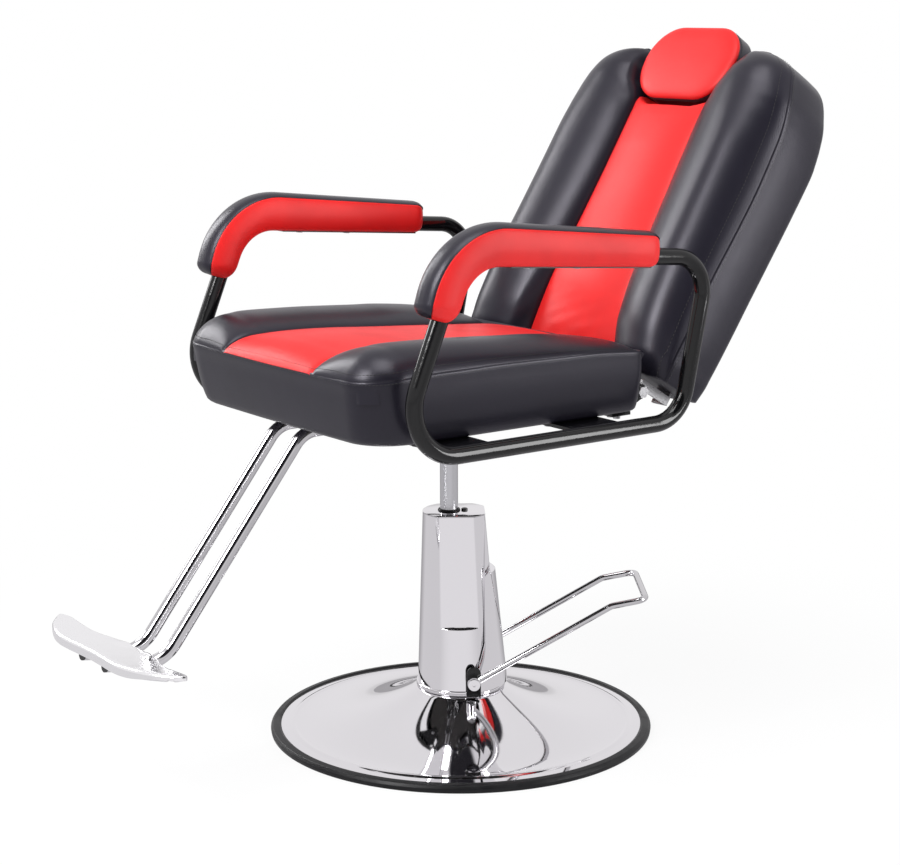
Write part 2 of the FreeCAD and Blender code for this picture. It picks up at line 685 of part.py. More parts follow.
plunger_top = PIVOT_Z - CAM_RADIUS - CAM_GAP
block = box(V(-BLOCK_WIDTH / 2, cam_nose_y - BLOCK_DEPTH / 2, CYLINDER_FOOT + 8),
            V(BLOCK_WIDTH / 2, cam_nose_y + BLOCK_DEPTH / 2, BLOCK_HEAD))
bridge = box(V(-BLOCK_WIDTH / 4, CYLINDER_RADIUS - 3, CYLINDER_FOOT + 8),
             V(BLOCK_WIDTH / 4, cam_nose_y, CYLINDER_FOOT + 28))
block = fuse([block, bridge.cut(cylinder(CYLINDER_RADIUS, far, V(0, 0, 0)))])
plunger_foot = plunger_top - PLUNGER_HEAD_THICK - PLUNGER_LENGTH
block = block.cut(cylinder(PLUNGER_RADIUS + RUN, far, V(0, cam_nose_y, CYLINDER_FOOT + 14)))
plunger = cylinder(PLUNGER_RADIUS, PLUNGER_LENGTH, V(0, cam_nose_y, plunger_foot))
plunger_head = cylinder(PLUNGER_HEAD_RADIUS, PLUNGER_HEAD_THICK,
                        V(0, cam_nose_y, plunger_top - PLUNGER_HEAD_THICK))
plunger = fuse([plunger, plunger_head])
spring_inner = PLUNGER_RADIUS + 0.6
spring_height = plunger_top - PLUNGER_HEAD_THICK - BLOCK_HEAD
spring = cylinder(spring_inner + SPRING_WALL, spring_height, V(0, cam_nose_y, BLOCK_HEAD))
spring = spring.cut(cylinder(spring_inner, far, V(0, cam_nose_y, 0)))

save(turned_base(block), "valve_block")
save(turned_base(plunger), "pump_plunger")
save(turned_base(spring), "plunger_spring")

# Piston, rod and swivel washer

rod_shoulder = HUB_FOOT - WASHER_THICK
hub_plate_under = SEAT_UNDER - HUB_PLATE_THICK
rod_top = hub_plate_under - 4.0
piston_bore_radius = cylinder_bore - RUN
rod = cylinder(ROD_RADIUS, rod_top - PISTON_REST, V(0, 0, PISTON_REST))
rod_collar = cylinder(SHOULDER_RADIUS, SHOULDER_HEIGHT, V(0, 0, rod_shoulder - SHOULDER_HEIGHT))
rod = fuse([rod, rod_collar])
spigot_radius = ROD_RADIUS - 4
piston_head = cylinder(piston_bore_radius, PISTON_LENGTH, V(0, 0, PISTON_REST))
rod = rod.cut(cylinder(ROD_RADIUS + 1, PISTON_LENGTH, V(0, 0, PISTON_REST)))
rod = rod.fuse(cylinder(spigot_radius, PISTON_LENGTH, V(0, 0, PISTON_REST))).removeSplitter()
piston_head = piston_head.cut(cylinder(spigot_radius, PISTON_LENGTH, V(0, 0, PISTON_REST)))
groove_foot = PISTON_REST + PISTON_LENGTH / 2 - PISTON_SEAL_WIDTH / 2
groove_root = piston_bore_radius - PISTON_SEAL_DEPTH
groove = cylinder(cylinder_bore, PISTON_SEAL_WIDTH, V(0, 0, groove_foot))
groove = groove.cut(cylinder(groove_root, PISTON_SEAL_WIDTH, V(0, 0, groove_foot)))
piston_head = piston_head.cut(groove)
seal = cylinder(piston_bore_radius, PISTON_SEAL_WIDTH, V(0, 0, groove_foot))
seal = seal.cut(cylinder(groove_root, PISTON_SEAL_WIDTH, V(0, 0, groove_foot)))
washer = cylinder(WASHER_RADIUS, WASHER_THICK, V(0, 0, rod_shoulder))
washer = washer.cut(cylinder(ROD_RADIUS, WASHER_THICK, V(0, 0, rod_shoulder)))

save(rod, "piston_rod")
save(piston_head, "piston_head")
save(seal, "piston_seal")
save(washer, "swivel_washer")

# Seat hub: plate, socket tube with its bush, and four gussets

bush_outer = ROD_RADIUS + RUN + HUB_BUSH_WALL
hub_tube = cylinder(HUB_RADIUS, hub_plate_under - HUB_FOOT, V(0, 0, HUB_FOOT))
half_plate = HUB_PLATE / 2
hub_plate = box(V(-half_plate, -half_plate, hub_plate_under), V(half_plate, half_plate, SEAT_UNDER))
hub_parts = [hub_tube, hub_plate]
gusset_foot = HUB_FOOT + 18.0
gusset_reach = half_plate * 0.8
gusset_outline = polygon_face([
    V(HUB_RADIUS - 2, -GUSSET_THICK / 2, gusset_foot),
    V(HUB_RADIUS - 2, -GUSSET_THICK / 2, hub_plate_under),
    V(gusset_reach, -GUSSET_THICK / 2, hub_plate_under),
    V(gusset_reach, -GUSSET_THICK / 2, hub_plate_under - 6)])
gusset = gusset_outline.extrude(V(0, GUSSET_THICK, 0))
for i in range(4):
    turned = gusset.copy()
    turned.rotate(V(0, 0, 0), Z_AXIS, 45 + 90 * i)
    hub_parts.append(turned)
hub = fuse(hub_parts).cut(cylinder(bush_outer, 200, V(0, 0, HUB_FOOT - 10)).common(
    cylinder(bush_outer, hub_plate_under - HUB_FOOT, V(0, 0, HUB_FOOT))))
hub_bolt_at = HUB_BOLT_SPACING / 2
hub_bolt_places = [V(sx * hub_bolt_at, sy * hub_bolt_at, hub_plate_under) for sx in (1, -1) for sy in (1, -1)]
hub = hub.cut([cylinder(HUB_BOLT_RADIUS + HOLE, 20, p - V(0, 0, 5)) for p in hub_bolt_places])
hub_bush = cylinder(bush_outer, hub_plate_under - HUB_FOOT, V(0, 0, HUB_FOOT))
hub_bush = hub_bush.cut(cylinder(ROD_RADIUS + RUN, 200, V(0, 0, HUB_FOOT - 10)))
down = Z_AXIS * -1
hub_bolt_length = HUB_PLATE_THICK + BOARD_THICK - 1
hub_bolts = [bolt(HUB_BOLT_RADIUS, hub_bolt_length, 7.0, 5.0, p, down) for p in hub_bolt_places]

save(hub, "seat_hub")
save(hub_bush, "hub_bush")
save(group(hub_bolts), "hub_bolts")

# Arm frames

front_lean = math.radians(ARM_FRONT_LEAN)
rear_lean = math.radians(ARM_REAR_LEAN)
fall = math.radians(ARM_TOP_FALL)
top_fall = math.tan(fall)
top_dir = V(0, math.cos(fall), -math.sin(fall))
top_out = V(0, math.sin(fall), math.cos(fall))


def on_front_leg(z):
    return ARM_RAIL_FRONT + (z - ARM_RAIL_Z) * math.tan(front_lean)


def on_rear_leg(z):
    return ARM_RAIL_REAR + (z - ARM_RAIL_Z) * math.tan(rear_lean)


def meet_top(at_rail, lean):
    """Height where a leaning leg meets the top line, z = ARM_TOP_Z - y * top_fall."""
    slope = math.tan(lean)
    return (ARM_TOP_Z - top_fall * (at_rail - ARM_RAIL_Z * slope)) / (1 + top_fall * slope)


top_front_z = meet_top(ARM_RAIL_FRONT, front_lean)
top_rear_z = meet_top(ARM_RAIL_REAR, rear_lean)
loop_corners = [
    V(ARM_X, ARM_RAIL_FRONT, ARM_RAIL_Z),
    V(ARM_X, ARM_RAIL_REAR, ARM_RAIL_Z),
    V(ARM_X, on_rear_leg(top_rear_z), top_rear_z),
    V(ARM_X, on_front_leg(top_front_z), top_front_z)]
loop_bends = [ARM_BEND_LOW_FRONT, ARM_BEND_LOW_REAR, ARM_BEND_TOP_REAR, ARM_BEND_TOP_FRONT]


def arm_loop(radius):
    """The closed loop as two open halves, joined on the rail and on the top line."""
    rail_split = V(ARM_X, 0, ARM_RAIL_Z)
    top_split = V(ARM_X, 0, ARM_TOP_Z)
    rear = [rail_split, loop_corners[1], loop_corners[2], top_split]
    front = [top_split, loop_corners[3], loop_corners[0], rail_split]
    rear_half = sweep(rounded_path(rear, [0, loop_bends[1], loop_bends[2], 0]), radius)
    front_half = sweep(rounded_path(front, [0, loop_bends[3], loop_bends[0], 0]), radius)
    return fuse([rear_half, front_half])


tab_inner = ARM_X - ARM_TUBE - ARM_TAB_REACH
tab_under = SEAT_UNDER - ARM_TAB_THICK
loop_outside = arm_loop(ARM_TUBE)
loop_inside = arm_loop(ARM_TUBE - ARM_WALL)
tabs = []
arm_bolt_places = []
for y in (ARM_TAB_FRONT_Y, ARM_TAB_REAR_Y):
    tabs.append(box(V(tab_inner, y - ARM_TAB_LENGTH / 2, tab_under),
                    V(ARM_X, y + ARM_TAB_LENGTH / 2, SEAT_UNDER)))
    for step in (-0.5, 0.5):
        arm_bolt_places.append(V(tab_inner + ARM_BOLT_INSET, y + step * ARM_BOLT_SPACING, tab_under))
pad_screw_places = []
for y in PAD_SCREW_Y:
    pad_screw_places.append(V(ARM_X, y, ARM_TOP_Z - y * top_fall))
arm_holes = [cylinder(ARM_BOLT_RADIUS + HOLE, 20, p - V(0, 0, 5)) for p in arm_bolt_places]
arm_holes += [cylinder(PAD_SCREW_RADIUS + HOLE, ARM_TUBE * 3, p - top_out * (ARM_TUBE * 1.5), top_out)
              for p in pad_screw_places]
arm_frame = fuse([loop_outside] + tabs).cut([loop_inside] + arm_holes)
arm_bolt_length = ARM_TAB_THICK + BOARD_THICK - 1
arm_bolts = [bolt(ARM_BOLT_RADIUS, arm_bolt_length, 7.0, 5.0, p, down) for p in arm_bolt_places]

save(arm_frame, "arm_frame_left")
save(mirrored(arm_frame), "arm_frame_right")
save(group([m for b in arm_bolts for m in both_sides(b)]), "arm_bolts")

# Arm pads: crowned foam along the tube, and the strip that closes the underside

front_dir = V(0, math.sin(front_lean), math.cos(front_lean))
front_out = V(0, -math.cos(front_lean), math.sin(front_lean))
corner = loop_corners[3]
tip_centre = V(ARM_X, on_front_leg(PAD_TIP_Z), PAD_TIP_Z)
rear_centre = V(ARM_X, PAD_REAR_Y, ARM_TOP_Z - PAD_REAR_Y * top_fall)


def crossing(a, along_a, b, along_b):
    """Where two lines in the pad's side view meet."""
    gap = b - a
    scale = (gap.y * along_b.z - gap.z * along_b.y) / (along_a.y * along_b.z - along_a.z * along_b.y)
    return a + along_a * scale


def pad_section(x, inset, end_inset):
    """Side view of the pad at x, its crown drawn in by inset and the rest by end_inset."""
    tip = tip_centre + front_dir * end_inset
    rear = rear_centre - top_dir * end_inset
    over_tip = tip + front_out * (PAD_TIP_OVER - inset)
    over_rear = rear + top_out * (PAD_REAR_OVER - inset)
    over_corner = corner + top_out * (PAD_TOP_OVER - inset) + V(0, inset - PAD_FRONT_OVER, 0)
    under_tip = tip - front_out * (PAD_UNDER - end_inset)
    under_rear = rear - top_out * (PAD_UNDER - end_inset)
    under_corner = crossing(under_tip, front_dir, under_rear, top_dir)
    soft = PAD_END_ROUND
    edges = rounded_path(
        [over_tip, over_corner, over_rear, under_rear, under_corner, under_tip],
        [soft, PAD_OVER_BEND - inset, soft, soft / 2, PAD_UNDER_BEND + end_inset, soft / 2], closed=True)
    section = Part.Wire(edges)
    section.translate(V(x, 0, 0))
    return section


# Sections across the pad: distance from its middle, then how far the crown and the rest draw in.
PAD_STEPS = ((0.0, 0.0, 0.0), (13.0, 1.8, 0.0), (21.0, 5.0, 0.3), (PAD_HALF_WIDTH, 9.0, 1.5),
             (PAD_HALF_WIDTH + 1.5, 15.0, 5.0))
sections = [pad_section(-x, inset, end) for x, inset, end in reversed(PAD_STEPS[1:])]
sections += [pad_section(x, inset, end) for x, inset, end in PAD_STEPS]
pad = loft(sections)
channel_corners = [tip_centre - front_dir * 40, corner, rear_centre + top_dir * 40]
channel = sweep(rounded_path(channel_corners, [0, ARM_BEND_TOP_FRONT, 0]), ARM_TUBE + FREE)


def on_top_line(y, under):
    """A point below the tube's axis on the top run, under measured square to it."""
    return V(ARM_X, y, ARM_TOP_Z - y * top_fall) - top_out * under


strip_low = PAD_UNDER + 1.2
strip_high = strip_low - PAD_STRIP_THICK
strip_outline = polygon_face([
    on_top_line(PAD_STRIP_FRONT, strip_high),
    on_top_line(PAD_STRIP_REAR, strip_high),
    on_top_line(PAD_STRIP_REAR, strip_low),
    on_top_line(PAD_STRIP_FRONT, strip_low)])
strip_outline.translate(V(-PAD_STRIP_HALF_WIDTH, 0, 0))
strip = strip_outline.extrude(V(PAD_STRIP_HALF_WIDTH * 2, 0, 0))
screw_heads = [p - top_out * strip_low for p in pad_screw_places]
pad_screws = [bolt(PAD_SCREW_RADIUS, PAD_SCREW_LENGTH, PAD_SCREW_HEAD, 2.0, p, top_out * -1)
              for p in screw_heads]
screw_ways = [cylinder(PAD_SCREW_RADIUS, PAD_SCREW_LENGTH, p, top_out) for p in screw_heads]
pad = pad.cut([channel, strip] + screw_ways)
strip = strip.cut(screw_ways)

save(pad, "arm_pad_left")
save(mirrored(pad), "arm_pad_right")
save(strip, "arm_pad_strip_left")
save(mirrored(strip), "arm_pad_strip_right")
save(group([m for s in pad_screws for m in both_sides(s)]), "arm_pad_screws")

# Seat board and cushion


def seat_plan(z, half_width, front, rear, corner):
    """Outline of the seat from above at height z."""
    across = half_width - corner
    back_across = half_width - SEAT_REAR_CORNER
    side_front = front + SEAT_BOW + corner
    side_rear = rear - SEAT_REAR_CORNER
    lean = math.sqrt(0.5)

    def round_corner(side, x, y, radius, toward):
        return V(side * (x + radius * lean), y + toward * radius * lean, z)
    edges = [arc(V(-across, front + SEAT_BOW, z), V(0, front, z), V(across, front + SEAT_BOW, z))]
    edges.append(arc(V(across, front + SEAT_BOW, z), round_corner(1, across, side_front, corner, -1),
                     V(half_width, side_front, z)))
    edges.append(line(V(half_width, side_front, z), V(half_width, side_rear, z)))
    edges.append(arc(V(half_width, side_rear, z),
                     round_corner(1, back_across, side_rear, SEAT_REAR_CORNER, 1),
                     V(back_across, rear, z)))
    edges.append(line(V(back_across, rear, z), V(-back_across, rear, z)))
    edges.append(arc(V(-back_across, rear, z), round_corner(-1, back_across, side_rear, SEAT_REAR_CORNER, 1),
                     V(-half_width, side_rear, z)))
    edges.append(line(V(-half_width, side_rear, z), V(-half_width, side_front, z)))
    edges.append(arc(V(-half_width, side_front, z), round_corner(-1, across, side_front, corner, -1),
                     V(-across, front + SEAT_BOW, z)))
    return Part.Wire(edges)


# The side walls from the underside up: height over it, how far the sides draw in,
# how far the front draws back, how far the rear draws in.
SEAT_WALL = ((0.0, 13.5, 20.0, 4.0), (5.0, 10.0, 16.0, 1.5), (26.0, 4.5, 10.5, 0.0), (61.0, 0.0, 4.5, -1.0),
             (96.0, 0.0, 0.0, 0.0), (136.0, 0.0, 0.0, 0.0), (176.0, 0.0, 0.0, 0.0))
# The top along the seat, over the underside: share of the seat's length from the front seam, height
SEAT_SIDE_SEAM = ((-0.012, 92), (0, 93), (0.214, 99), (0.352, 100), (0.46, 101), (0.674, 100), (0.824, 99),
                  (0.97, 94), (1.04, 91))
SEAT_CREST = ((-0.012, 97), (0, 102), (0.02, 111), (0.04, 119), (0.072, 127), (0.12, 133), (0.176, 136),
              (0.286, 135), (0.4, 133), (0.576, 128), (0.66, 126), (0.78, 120), (0.88, 112), (0.96, 103),
              (1.04, 91))
INSERT_SEAM = ((-0.012, 90), (0, 94), (0.03, 104), (0.064, 109.5), (0.116, 113), (0.18, 114), (0.276, 113.5),
               (0.38, 111), (0.5, 106.5), (0.722, 99), (1.0, 89), (1.04, 87))
SEAT_STEPS = (-0.012, 0.006, 0.026, 0.05, 0.08, 0.116, 0.16, 0.212, 0.276, 0.348, 0.424, 0.504, 0.588, 0.672,
              0.752, 0.824, 0.888, 0.94, 0.984, 1.024)


def crown_section(share):
    """The top's profile across the seat, closed well below and beside the cushion."""
    y = SEAT_FRONT + share * (SEAT_REAR - SEAT_FRONT)
    seam = SEAT_UNDER + between(SEAT_SIDE_SEAM, share)
    crest = SEAT_UNDER + between(SEAT_CREST, share)
    edge = SEAT_UNDER + between(INSERT_SEAM, share)
    crown = edge + INSERT_CROWN * smooth(share, 0, 0.12) + INSERT_LEAST_CROWN
    w = SEAT_HALF_WIDTH
    inner = INSERT_HALF_WIDTH
    outer = w + BOARD_CORNER
    low = SEAT_UNDER - BOARD_THICK

    def at(x, z):
        return V(x, y, z)
    return Part.Wire([
        line(at(-outer, low), at(outer, low)),
        line(at(outer, low), at(outer, seam)),
        line(at(outer, seam), at(w, seam)),
        arc(at(w, seam), at(BOLSTER_X, crest), at(inner, edge)),
        arc(at(inner, edge), at(0, crown), at(-inner, edge)),
        arc(at(-inner, edge), at(-BOLSTER_X, crest), at(-w, seam)),
        line(at(-w, seam), at(-outer, seam)),
        line(at(-outer, seam), at(-outer, low))])


board = box(V(-BOARD_HALF_WIDTH, BOARD_FRONT, SEAT_UNDER),
            V(BOARD_HALF_WIDTH, BOARD_REAR, SEAT_UNDER + BOARD_THICK))
board_pocket = box(V(-BOARD_HALF_WIDTH - FREE, BOARD_FRONT - FREE, SEAT_UNDER - BOARD_THICK),
                   V(BOARD_HALF_WIDTH + FREE, BOARD_REAR + FREE, SEAT_UNDER + BOARD_THICK + FREE))


def round_front_corners(shape, radius):
    """Rounds the two upright edges at the front of a board or its pocket."""
    front = shape.BoundBox.YMin
    upright = []
    for edge in shape.Edges:
        straight_up = abs(edge.BoundBox.ZLength - shape.BoundBox.ZLength) < 1e-6
        if straight_up and edge.BoundBox.YMax < front + 1:
            upright.append(edge)
    return shape.makeFillet(radius, upright)


board = round_front_corners(board, BOARD_CORNER)
board_pocket = round_front_corners(board_pocket, BOARD_CORNER)
seat_block = loft([seat_plan(SEAT_UNDER + rise, SEAT_HALF_WIDTH - side, SEAT_FRONT + front, SEAT_REAR - rear,
                             SEAT_CORNER) for rise, side, front, rear in SEAT_WALL])
seat_whole = seat_block.common(loft([crown_section(share) for share in SEAT_STEPS]))
insert_low = SEAT_UNDER + between(INSERT_SEAM, 1.0) - INSERT_THICK
insert_front = SEAT_FRONT + SEAT_BOW
insert_top = SEAT_UNDER + far
insert_room = box(V(-INSERT_HALF_WIDTH, insert_front, insert_low),
                  V(INSERT_HALF_WIDTH, SEAT_REAR + far, insert_top))
insert_cut = box(V(-INSERT_HALF_WIDTH - FREE, insert_front - FREE, insert_low - FREE),
                 V(INSERT_HALF_WIDTH + FREE, SEAT_REAR + far, insert_top))
seat_insert = seat_whole.common(insert_room)
seat_cushion = seat_whole.cut([insert_cut, board_pocket])

# Footrest: two bent tubes clamped under the board, and the cast footplate

foot_top_z = SEAT_UNDER - FOOT_TUBE
tilt = math.radians(FOOT_TILT)
foot_forward = V(0, -math.cos(tilt), math.sin(tilt))
foot_up = V(0, math.sin(tilt), math.cos(tilt))


def foot_axis_z(y):
    """Height of the tube's axis under the footplate."""
    return FOOT_LOW_Z + (FOOT_LOW_Y - y) * math.tan(tilt)


foot_corners = [
    V(FOOT_X, FOOT_TUBE_START, foot_top_z),
    V(FOOT_X, FOOT_TOP_Y, foot_top_z),
    V(FOOT_X, FOOT_LOW_Y, FOOT_LOW_Z),
    V(FOOT_X, FOOT_END_Y, foot_axis_z(FOOT_END_Y))]
foot_edges = rounded_path(foot_corners, [0, FOOT_TOP_BEND, FOOT_LOW_BEND, 0])
foot_tube = tube(foot_edges, FOOT_TUBE, FOOT_WALL)

foot_screw_place = V(FOOT_X, (PLATE_FRONT[0][1] + PLATE_REAR[0][1]) / 2, 0)
foot_screw_place.z = foot_axis_z(foot_screw_place.y)
foot_screw_head = foot_screw_place - foot_up * FOOT_TUBE
foot_screw_length = FOOT_TUBE * 2 + PLATE_SHEET * 0.8
foot_screw = bolt(FOOT_SCREW_RADIUS, foot_screw_length, FOOT_SCREW_HEAD, 3.0, foot_screw_head, foot_up * -1)
foot_screw_hole = cylinder(FOOT_SCREW_RADIUS + HOLE, FOOT_TUBE * 4,
                           foot_screw_place - foot_up * FOOT_TUBE * 2, foot_up)
foot_tube = foot_tube.cut(foot_screw_hole)

plug_face = V(FOOT_X, FOOT_END_Y, foot_axis_z(FOOT_END_Y))
plug = cylinder(FOOT_TUBE, PLUG_HEAD, plug_face, foot_forward)
plug = plug.fuse(cylinder(FOOT_TUBE - FOOT_WALL, PLUG_DEPTH, plug_face, foot_forward * -1)).removeSplitter()

clamp_top = foot_top_z - FOOT_TUBE
clamps = []
clamp_bolts = []
clamp_bolt_length = CLAMP_THICK + FOOT_TUBE * 2 + BOARD_THICK - 1
for y in CLAMP_Y:
    clamp = box(V(-CLAMP_WIDTH / 2, y - CLAMP_LENGTH / 2, clamp_top - CLAMP_THICK),
                V(CLAMP_WIDTH / 2, y + CLAMP_LENGTH / 2, clamp_top))
    for side in (1, -1):
        place = V(CLAMP_BOLT_X * side, y, clamp_top - CLAMP_THICK)
        clamp = clamp.cut(cylinder(CLAMP_BOLT_RADIUS + HOLE, 20, place - V(0, 0, 5)))
        clamp_bolts.append(bolt(CLAMP_BOLT_RADIUS, clamp_bolt_length, 5.5, 4.0, place, down))
    clamps.append(clamp)


def plate_section(x, inset, skirt):
    """Section of the plate at x, its top following the tubes' tilt and the rise of the ends."""
    front = between(PLATE_FRONT, abs(x)) + inset
    rear = between(PLATE_REAR, abs(x)) - inset
    rise = PLATE_LIFT * (x / PLATE_HALF_LENGTH) ** 2
    over = FOOT_TUBE / math.cos(tilt) + PLATE_SHEET - inset + rise
    soften = min(PLATE_SHEET * 0.6, (rear - front) * 0.3)

    def at(y, drop):
        return V(x, y, foot_axis_z(y) + over - drop)
    return Part.makePolygon([
        at(rear, skirt), at(rear, soften), at(rear - soften, 0),
        at(front + soften, 0), at(front, soften), at(front, skirt), at(rear, skirt)])


PLATE_STEPS = (0.0, 0.12, 0.25, 0.38, 0.5, 0.62, 0.74, 0.84, 0.92, 0.97, 1.0)
PLATE_HOLLOW_STEPS = (0.0, 0.12, 0.25, 0.38, 0.5, 0.62, 0.74, 0.84, 0.92)


def plate_loft(steps, inset, skirt, end_skirt):
    """The plate's body from end to end; inset by the sheet, it is the hollow under it."""
    shares = [-s for s in reversed(steps[1:])] + list(steps)
    sections = []
    for share in shares:
        depth = skirt + (end_skirt - skirt) * smooth(abs(share), 0.55, 1.0)
        sections.append(plate_section(PLATE_HALF_LENGTH * share, inset, depth))
    return loft(sections)


plate_outer = plate_loft(PLATE_STEPS, 0.0, PLATE_SKIRT, PLATE_END_SKIRT)
plate_hollow = plate_loft(PLATE_HOLLOW_STEPS, PLATE_SHEET, PLATE_SKIRT * 3, PLATE_SKIRT * 3)
footplate = plate_outer.cut(plate_hollow)
way_corners = [foot_corners[1], foot_corners[2], plug_face + foot_forward * FOOT_LOW_BEND]
tube_way = sweep(rounded_path(way_corners, [0, FOOT_LOW_BEND, 0]), FOOT_TUBE + FREE)
footplate = footplate.cut(both_sides(tube_way))
screw_thread = cylinder(FOOT_SCREW_RADIUS, foot_screw_length, foot_screw_head, foot_up)
footplate = footplate.cut(both_sides(screw_thread))

save(foot_tube, "footrest_tube_left")
save(mirrored(foot_tube), "footrest_tube_right")
save(group(clamps), "footrest_clamps")
save(group(clamp_bolts), "footrest_bolts")
save(footplate, "footplate")
save(group(both_sides(foot_screw)), "footplate_screws")
save(group(both_sides(plug)), "footrest_plugs")

# Recline hinge: brackets on the seat, pins, and the backrest's arms

hinge = V(0, HINGE_Y, HINGE_Z)
lean = math.radians(BACK_LEAN)
BACK_UP = V(0, math.sin(lean), math.cos(lean))
BACK_OUT = V(0, -math.cos(lean), math.sin(lean))


def on_back(x, n, u):
    """A point in the backrest's own axes: across, out of its front, and up from the hinge."""
    return hinge + X_AXIS * x + BACK_OUT * n + BACK_UP * u


def back_box(low, high):
    """A box in the backrest's axes, from (x, n, u) corners."""
    face = polygon_face([on_back(low[0], low[1], low[2]), on_back(high[0], low[1], low[2]),
                         on_back(high[0], high[1], low[2]), on_back(low[0], high[1], low[2])])
    return face.extrude(BACK_UP * (high[2] - low[2]))


arm_outer = HINGE_PLATE_X + HINGE_ARM_THICK
web_inner = arm_outer + SIDE
web_outer = web_inner + BRACKET_THICK
flange_outer = web_inner + BRACKET_FLANGE
bracket_under = SEAT_UNDER - BRACKET_THICK
web = polygon_face([
    V(web_inner, BRACKET_FRONT, bracket_under),
    V(web_inner, SEAT_REAR + BRACKET_REAR, bracket_under),
    V(web_inner, HINGE_Y + HINGE_BOSS * 0.7, HINGE_Z - HINGE_BOSS * 0.7),
    V(web_inner, HINGE_Y - HINGE_BOSS * 0.7, HINGE_Z + HINGE_BOSS * 0.7),
    V(web_inner, SEAT_REAR + SIDE * 2, SEAT_UNDER + BRACKET_THICK),
    V(web_inner, SEAT_REAR + SIDE * 2, SEAT_UNDER),
    V(web_inner, BRACKET_FRONT, SEAT_UNDER)]).extrude(V(BRACKET_THICK, 0, 0))
web_boss = cylinder(HINGE_BOSS, BRACKET_THICK, V(web_inner, HINGE_Y, HINGE_Z), X_AXIS)
bracket_flange = box(V(web_inner, BRACKET_FRONT, bracket_under), V(flange_outer, BOARD_REAR, SEAT_UNDER))
bracket = fuse([web, web_boss, bracket_flange])
bracket = bracket.cut(cylinder(HINGE_BOLT, far, V(web_inner - 5, HINGE_Y, HINGE_Z), X_AXIS))
bracket_bolt_y = SEAT_REAR - BRACKET_BOLT_REACH
bracket_bolt_places = [V(web_outer + 7 + step, bracket_bolt_y, bracket_under) for step in (0.0, 14.0)]
bracket = bracket.cut([cylinder(BRACKET_BOLT_RADIUS + HOLE, 20, p - V(0, 0, 5)) for p in bracket_bolt_places])
bracket_bolt_length = BRACKET_THICK + BOARD_THICK - 1
bracket_bolts = [bolt(BRACKET_BOLT_RADIUS, bracket_bolt_length, 5.5, 4.0, p, down)
                 for p in bracket_bolt_places]

pin_head = cylinder(HINGE_BOLT + 4, 6, V(HINGE_PLATE_X - SIDE - 6, HINGE_Y, HINGE_Z), X_AXIS)
nut_length = 8.0
left_pin = cylinder(HINGE_BOLT, web_outer + nut_length - HINGE_PLATE_X + SIDE,
                    V(HINGE_PLATE_X - SIDE, HINGE_Y, HINGE_Z), X_AXIS)
nut = hex_socket(HINGE_BOLT * 1.9, nut_length, V(web_outer, HINGE_Y, HINGE_Z), X_AXIS)
left_pin = fuse([pin_head, left_pin, nut])
lever_outer = LEVER_X + LEVER_THICK / 2
right_pin = cylinder(HINGE_BOLT, lever_outer - HINGE_PLATE_X + SIDE + 3,
                     V(HINGE_PLATE_X - SIDE, HINGE_Y, HINGE_Z), X_AXIS)
right_end = cylinder(HINGE_BOLT + 3, 3, V(lever_outer + SIDE, HINGE_Y, HINGE_Z), X_AXIS)
right_pin = mirrored(fuse([pin_head, right_pin, right_end]))

save(group(both_sides(bracket)), "hinge_brackets")
save(group([m for b in bracket_bolts for m in both_sides(b)]), "hinge_bracket_bolts")
save(group([left_pin, right_pin]), "recline_pins")

board_holes = []
for place, radius, length in (
        [(p, HUB_BOLT_RADIUS, hub_bolt_length) for p in hub_bolt_places]
        + [(p, ARM_BOLT_RADIUS, arm_bolt_length) for p in arm_bolt_places]
        + [(V(-p.x, p.y, p.z), ARM_BOLT_RADIUS, arm_bolt_length) for p in arm_bolt_places]
        + [(p, BRACKET_BOLT_RADIUS, bracket_bolt_length) for p in bracket_bolt_places]
        + [(V(-p.x, p.y, p.z), BRACKET_BOLT_RADIUS, bracket_bolt_length) for p in bracket_bolt_places]
        + [(V(CLAMP_BOLT_X * side, y, clamp_top - CLAMP_THICK), CLAMP_BOLT_RADIUS, clamp_bolt_length)
           for y in CLAMP_Y for side in (1, -1)]):
    board_holes.append(cylinder(radius, length, place))
board = board.cut(board_holes)
save(board, "seat_board")
save(seat_cushion, "seat_cushion")
save(seat_insert, "seat_insert")

flange_rear_n = BOARD_REAR_N - HINGE_ARM_FLANGE
neck_low = HINGE_BOSS / 2
neck_high = BACK_FOOT - 7
neck = back_box((HINGE_PLATE_X, flange_rear_n, neck_low), (arm_outer, 0, neck_high))
arm_boss = cylinder(HINGE_BOSS, HINGE_ARM_THICK, V(HINGE_PLATE_X, HINGE_Y, HINGE_Z), X_AXIS)
arm_flange = back_box((arm_outer - HINGE_ARM_WIDTH, flange_rear_n, neck_low),
                      (arm_outer, BOARD_REAR_N, HINGE_ARM_TOP))
hinge_arm = fuse([neck, arm_boss, arm_flange])
hinge_arm = hinge_arm.cut(cylinder(HINGE_BOLT + RUN, far, V(HINGE_PLATE_X - 5, HINGE_Y, HINGE_Z), X_AXIS))
arm_screws = []
arm_screw_holes = []
arm_screw_x = arm_outer - HINGE_ARM_WIDTH / 2
hinge_screw_u = HINGE_ARM_TOP - HINGE_SCREW_INSET
hinge_screw_heights = (hinge_screw_u, hinge_screw_u - HINGE_SCREW_SPACING)
for u in hinge_screw_heights:
    head_at = on_back(arm_screw_x, flange_rear_n, u)
    arm_screws.append(bolt(3.0, HINGE_ARM_FLANGE + BACK_BOARD_THICK - 1, 5.5, 3.0, head_at, BACK_OUT * -1))
    arm_screw_holes.append(cylinder(3.0, HINGE_ARM_FLANGE + BACK_BOARD_THICK - 1, head_at, BACK_OUT))
hinge_arm = hinge_arm.cut(arm_screw_holes)

save(group(both_sides(hinge_arm)), "hinge_arms")
save(group([m for s in arm_screws for m in both_sides(s)]), "hinge_arm_screws")

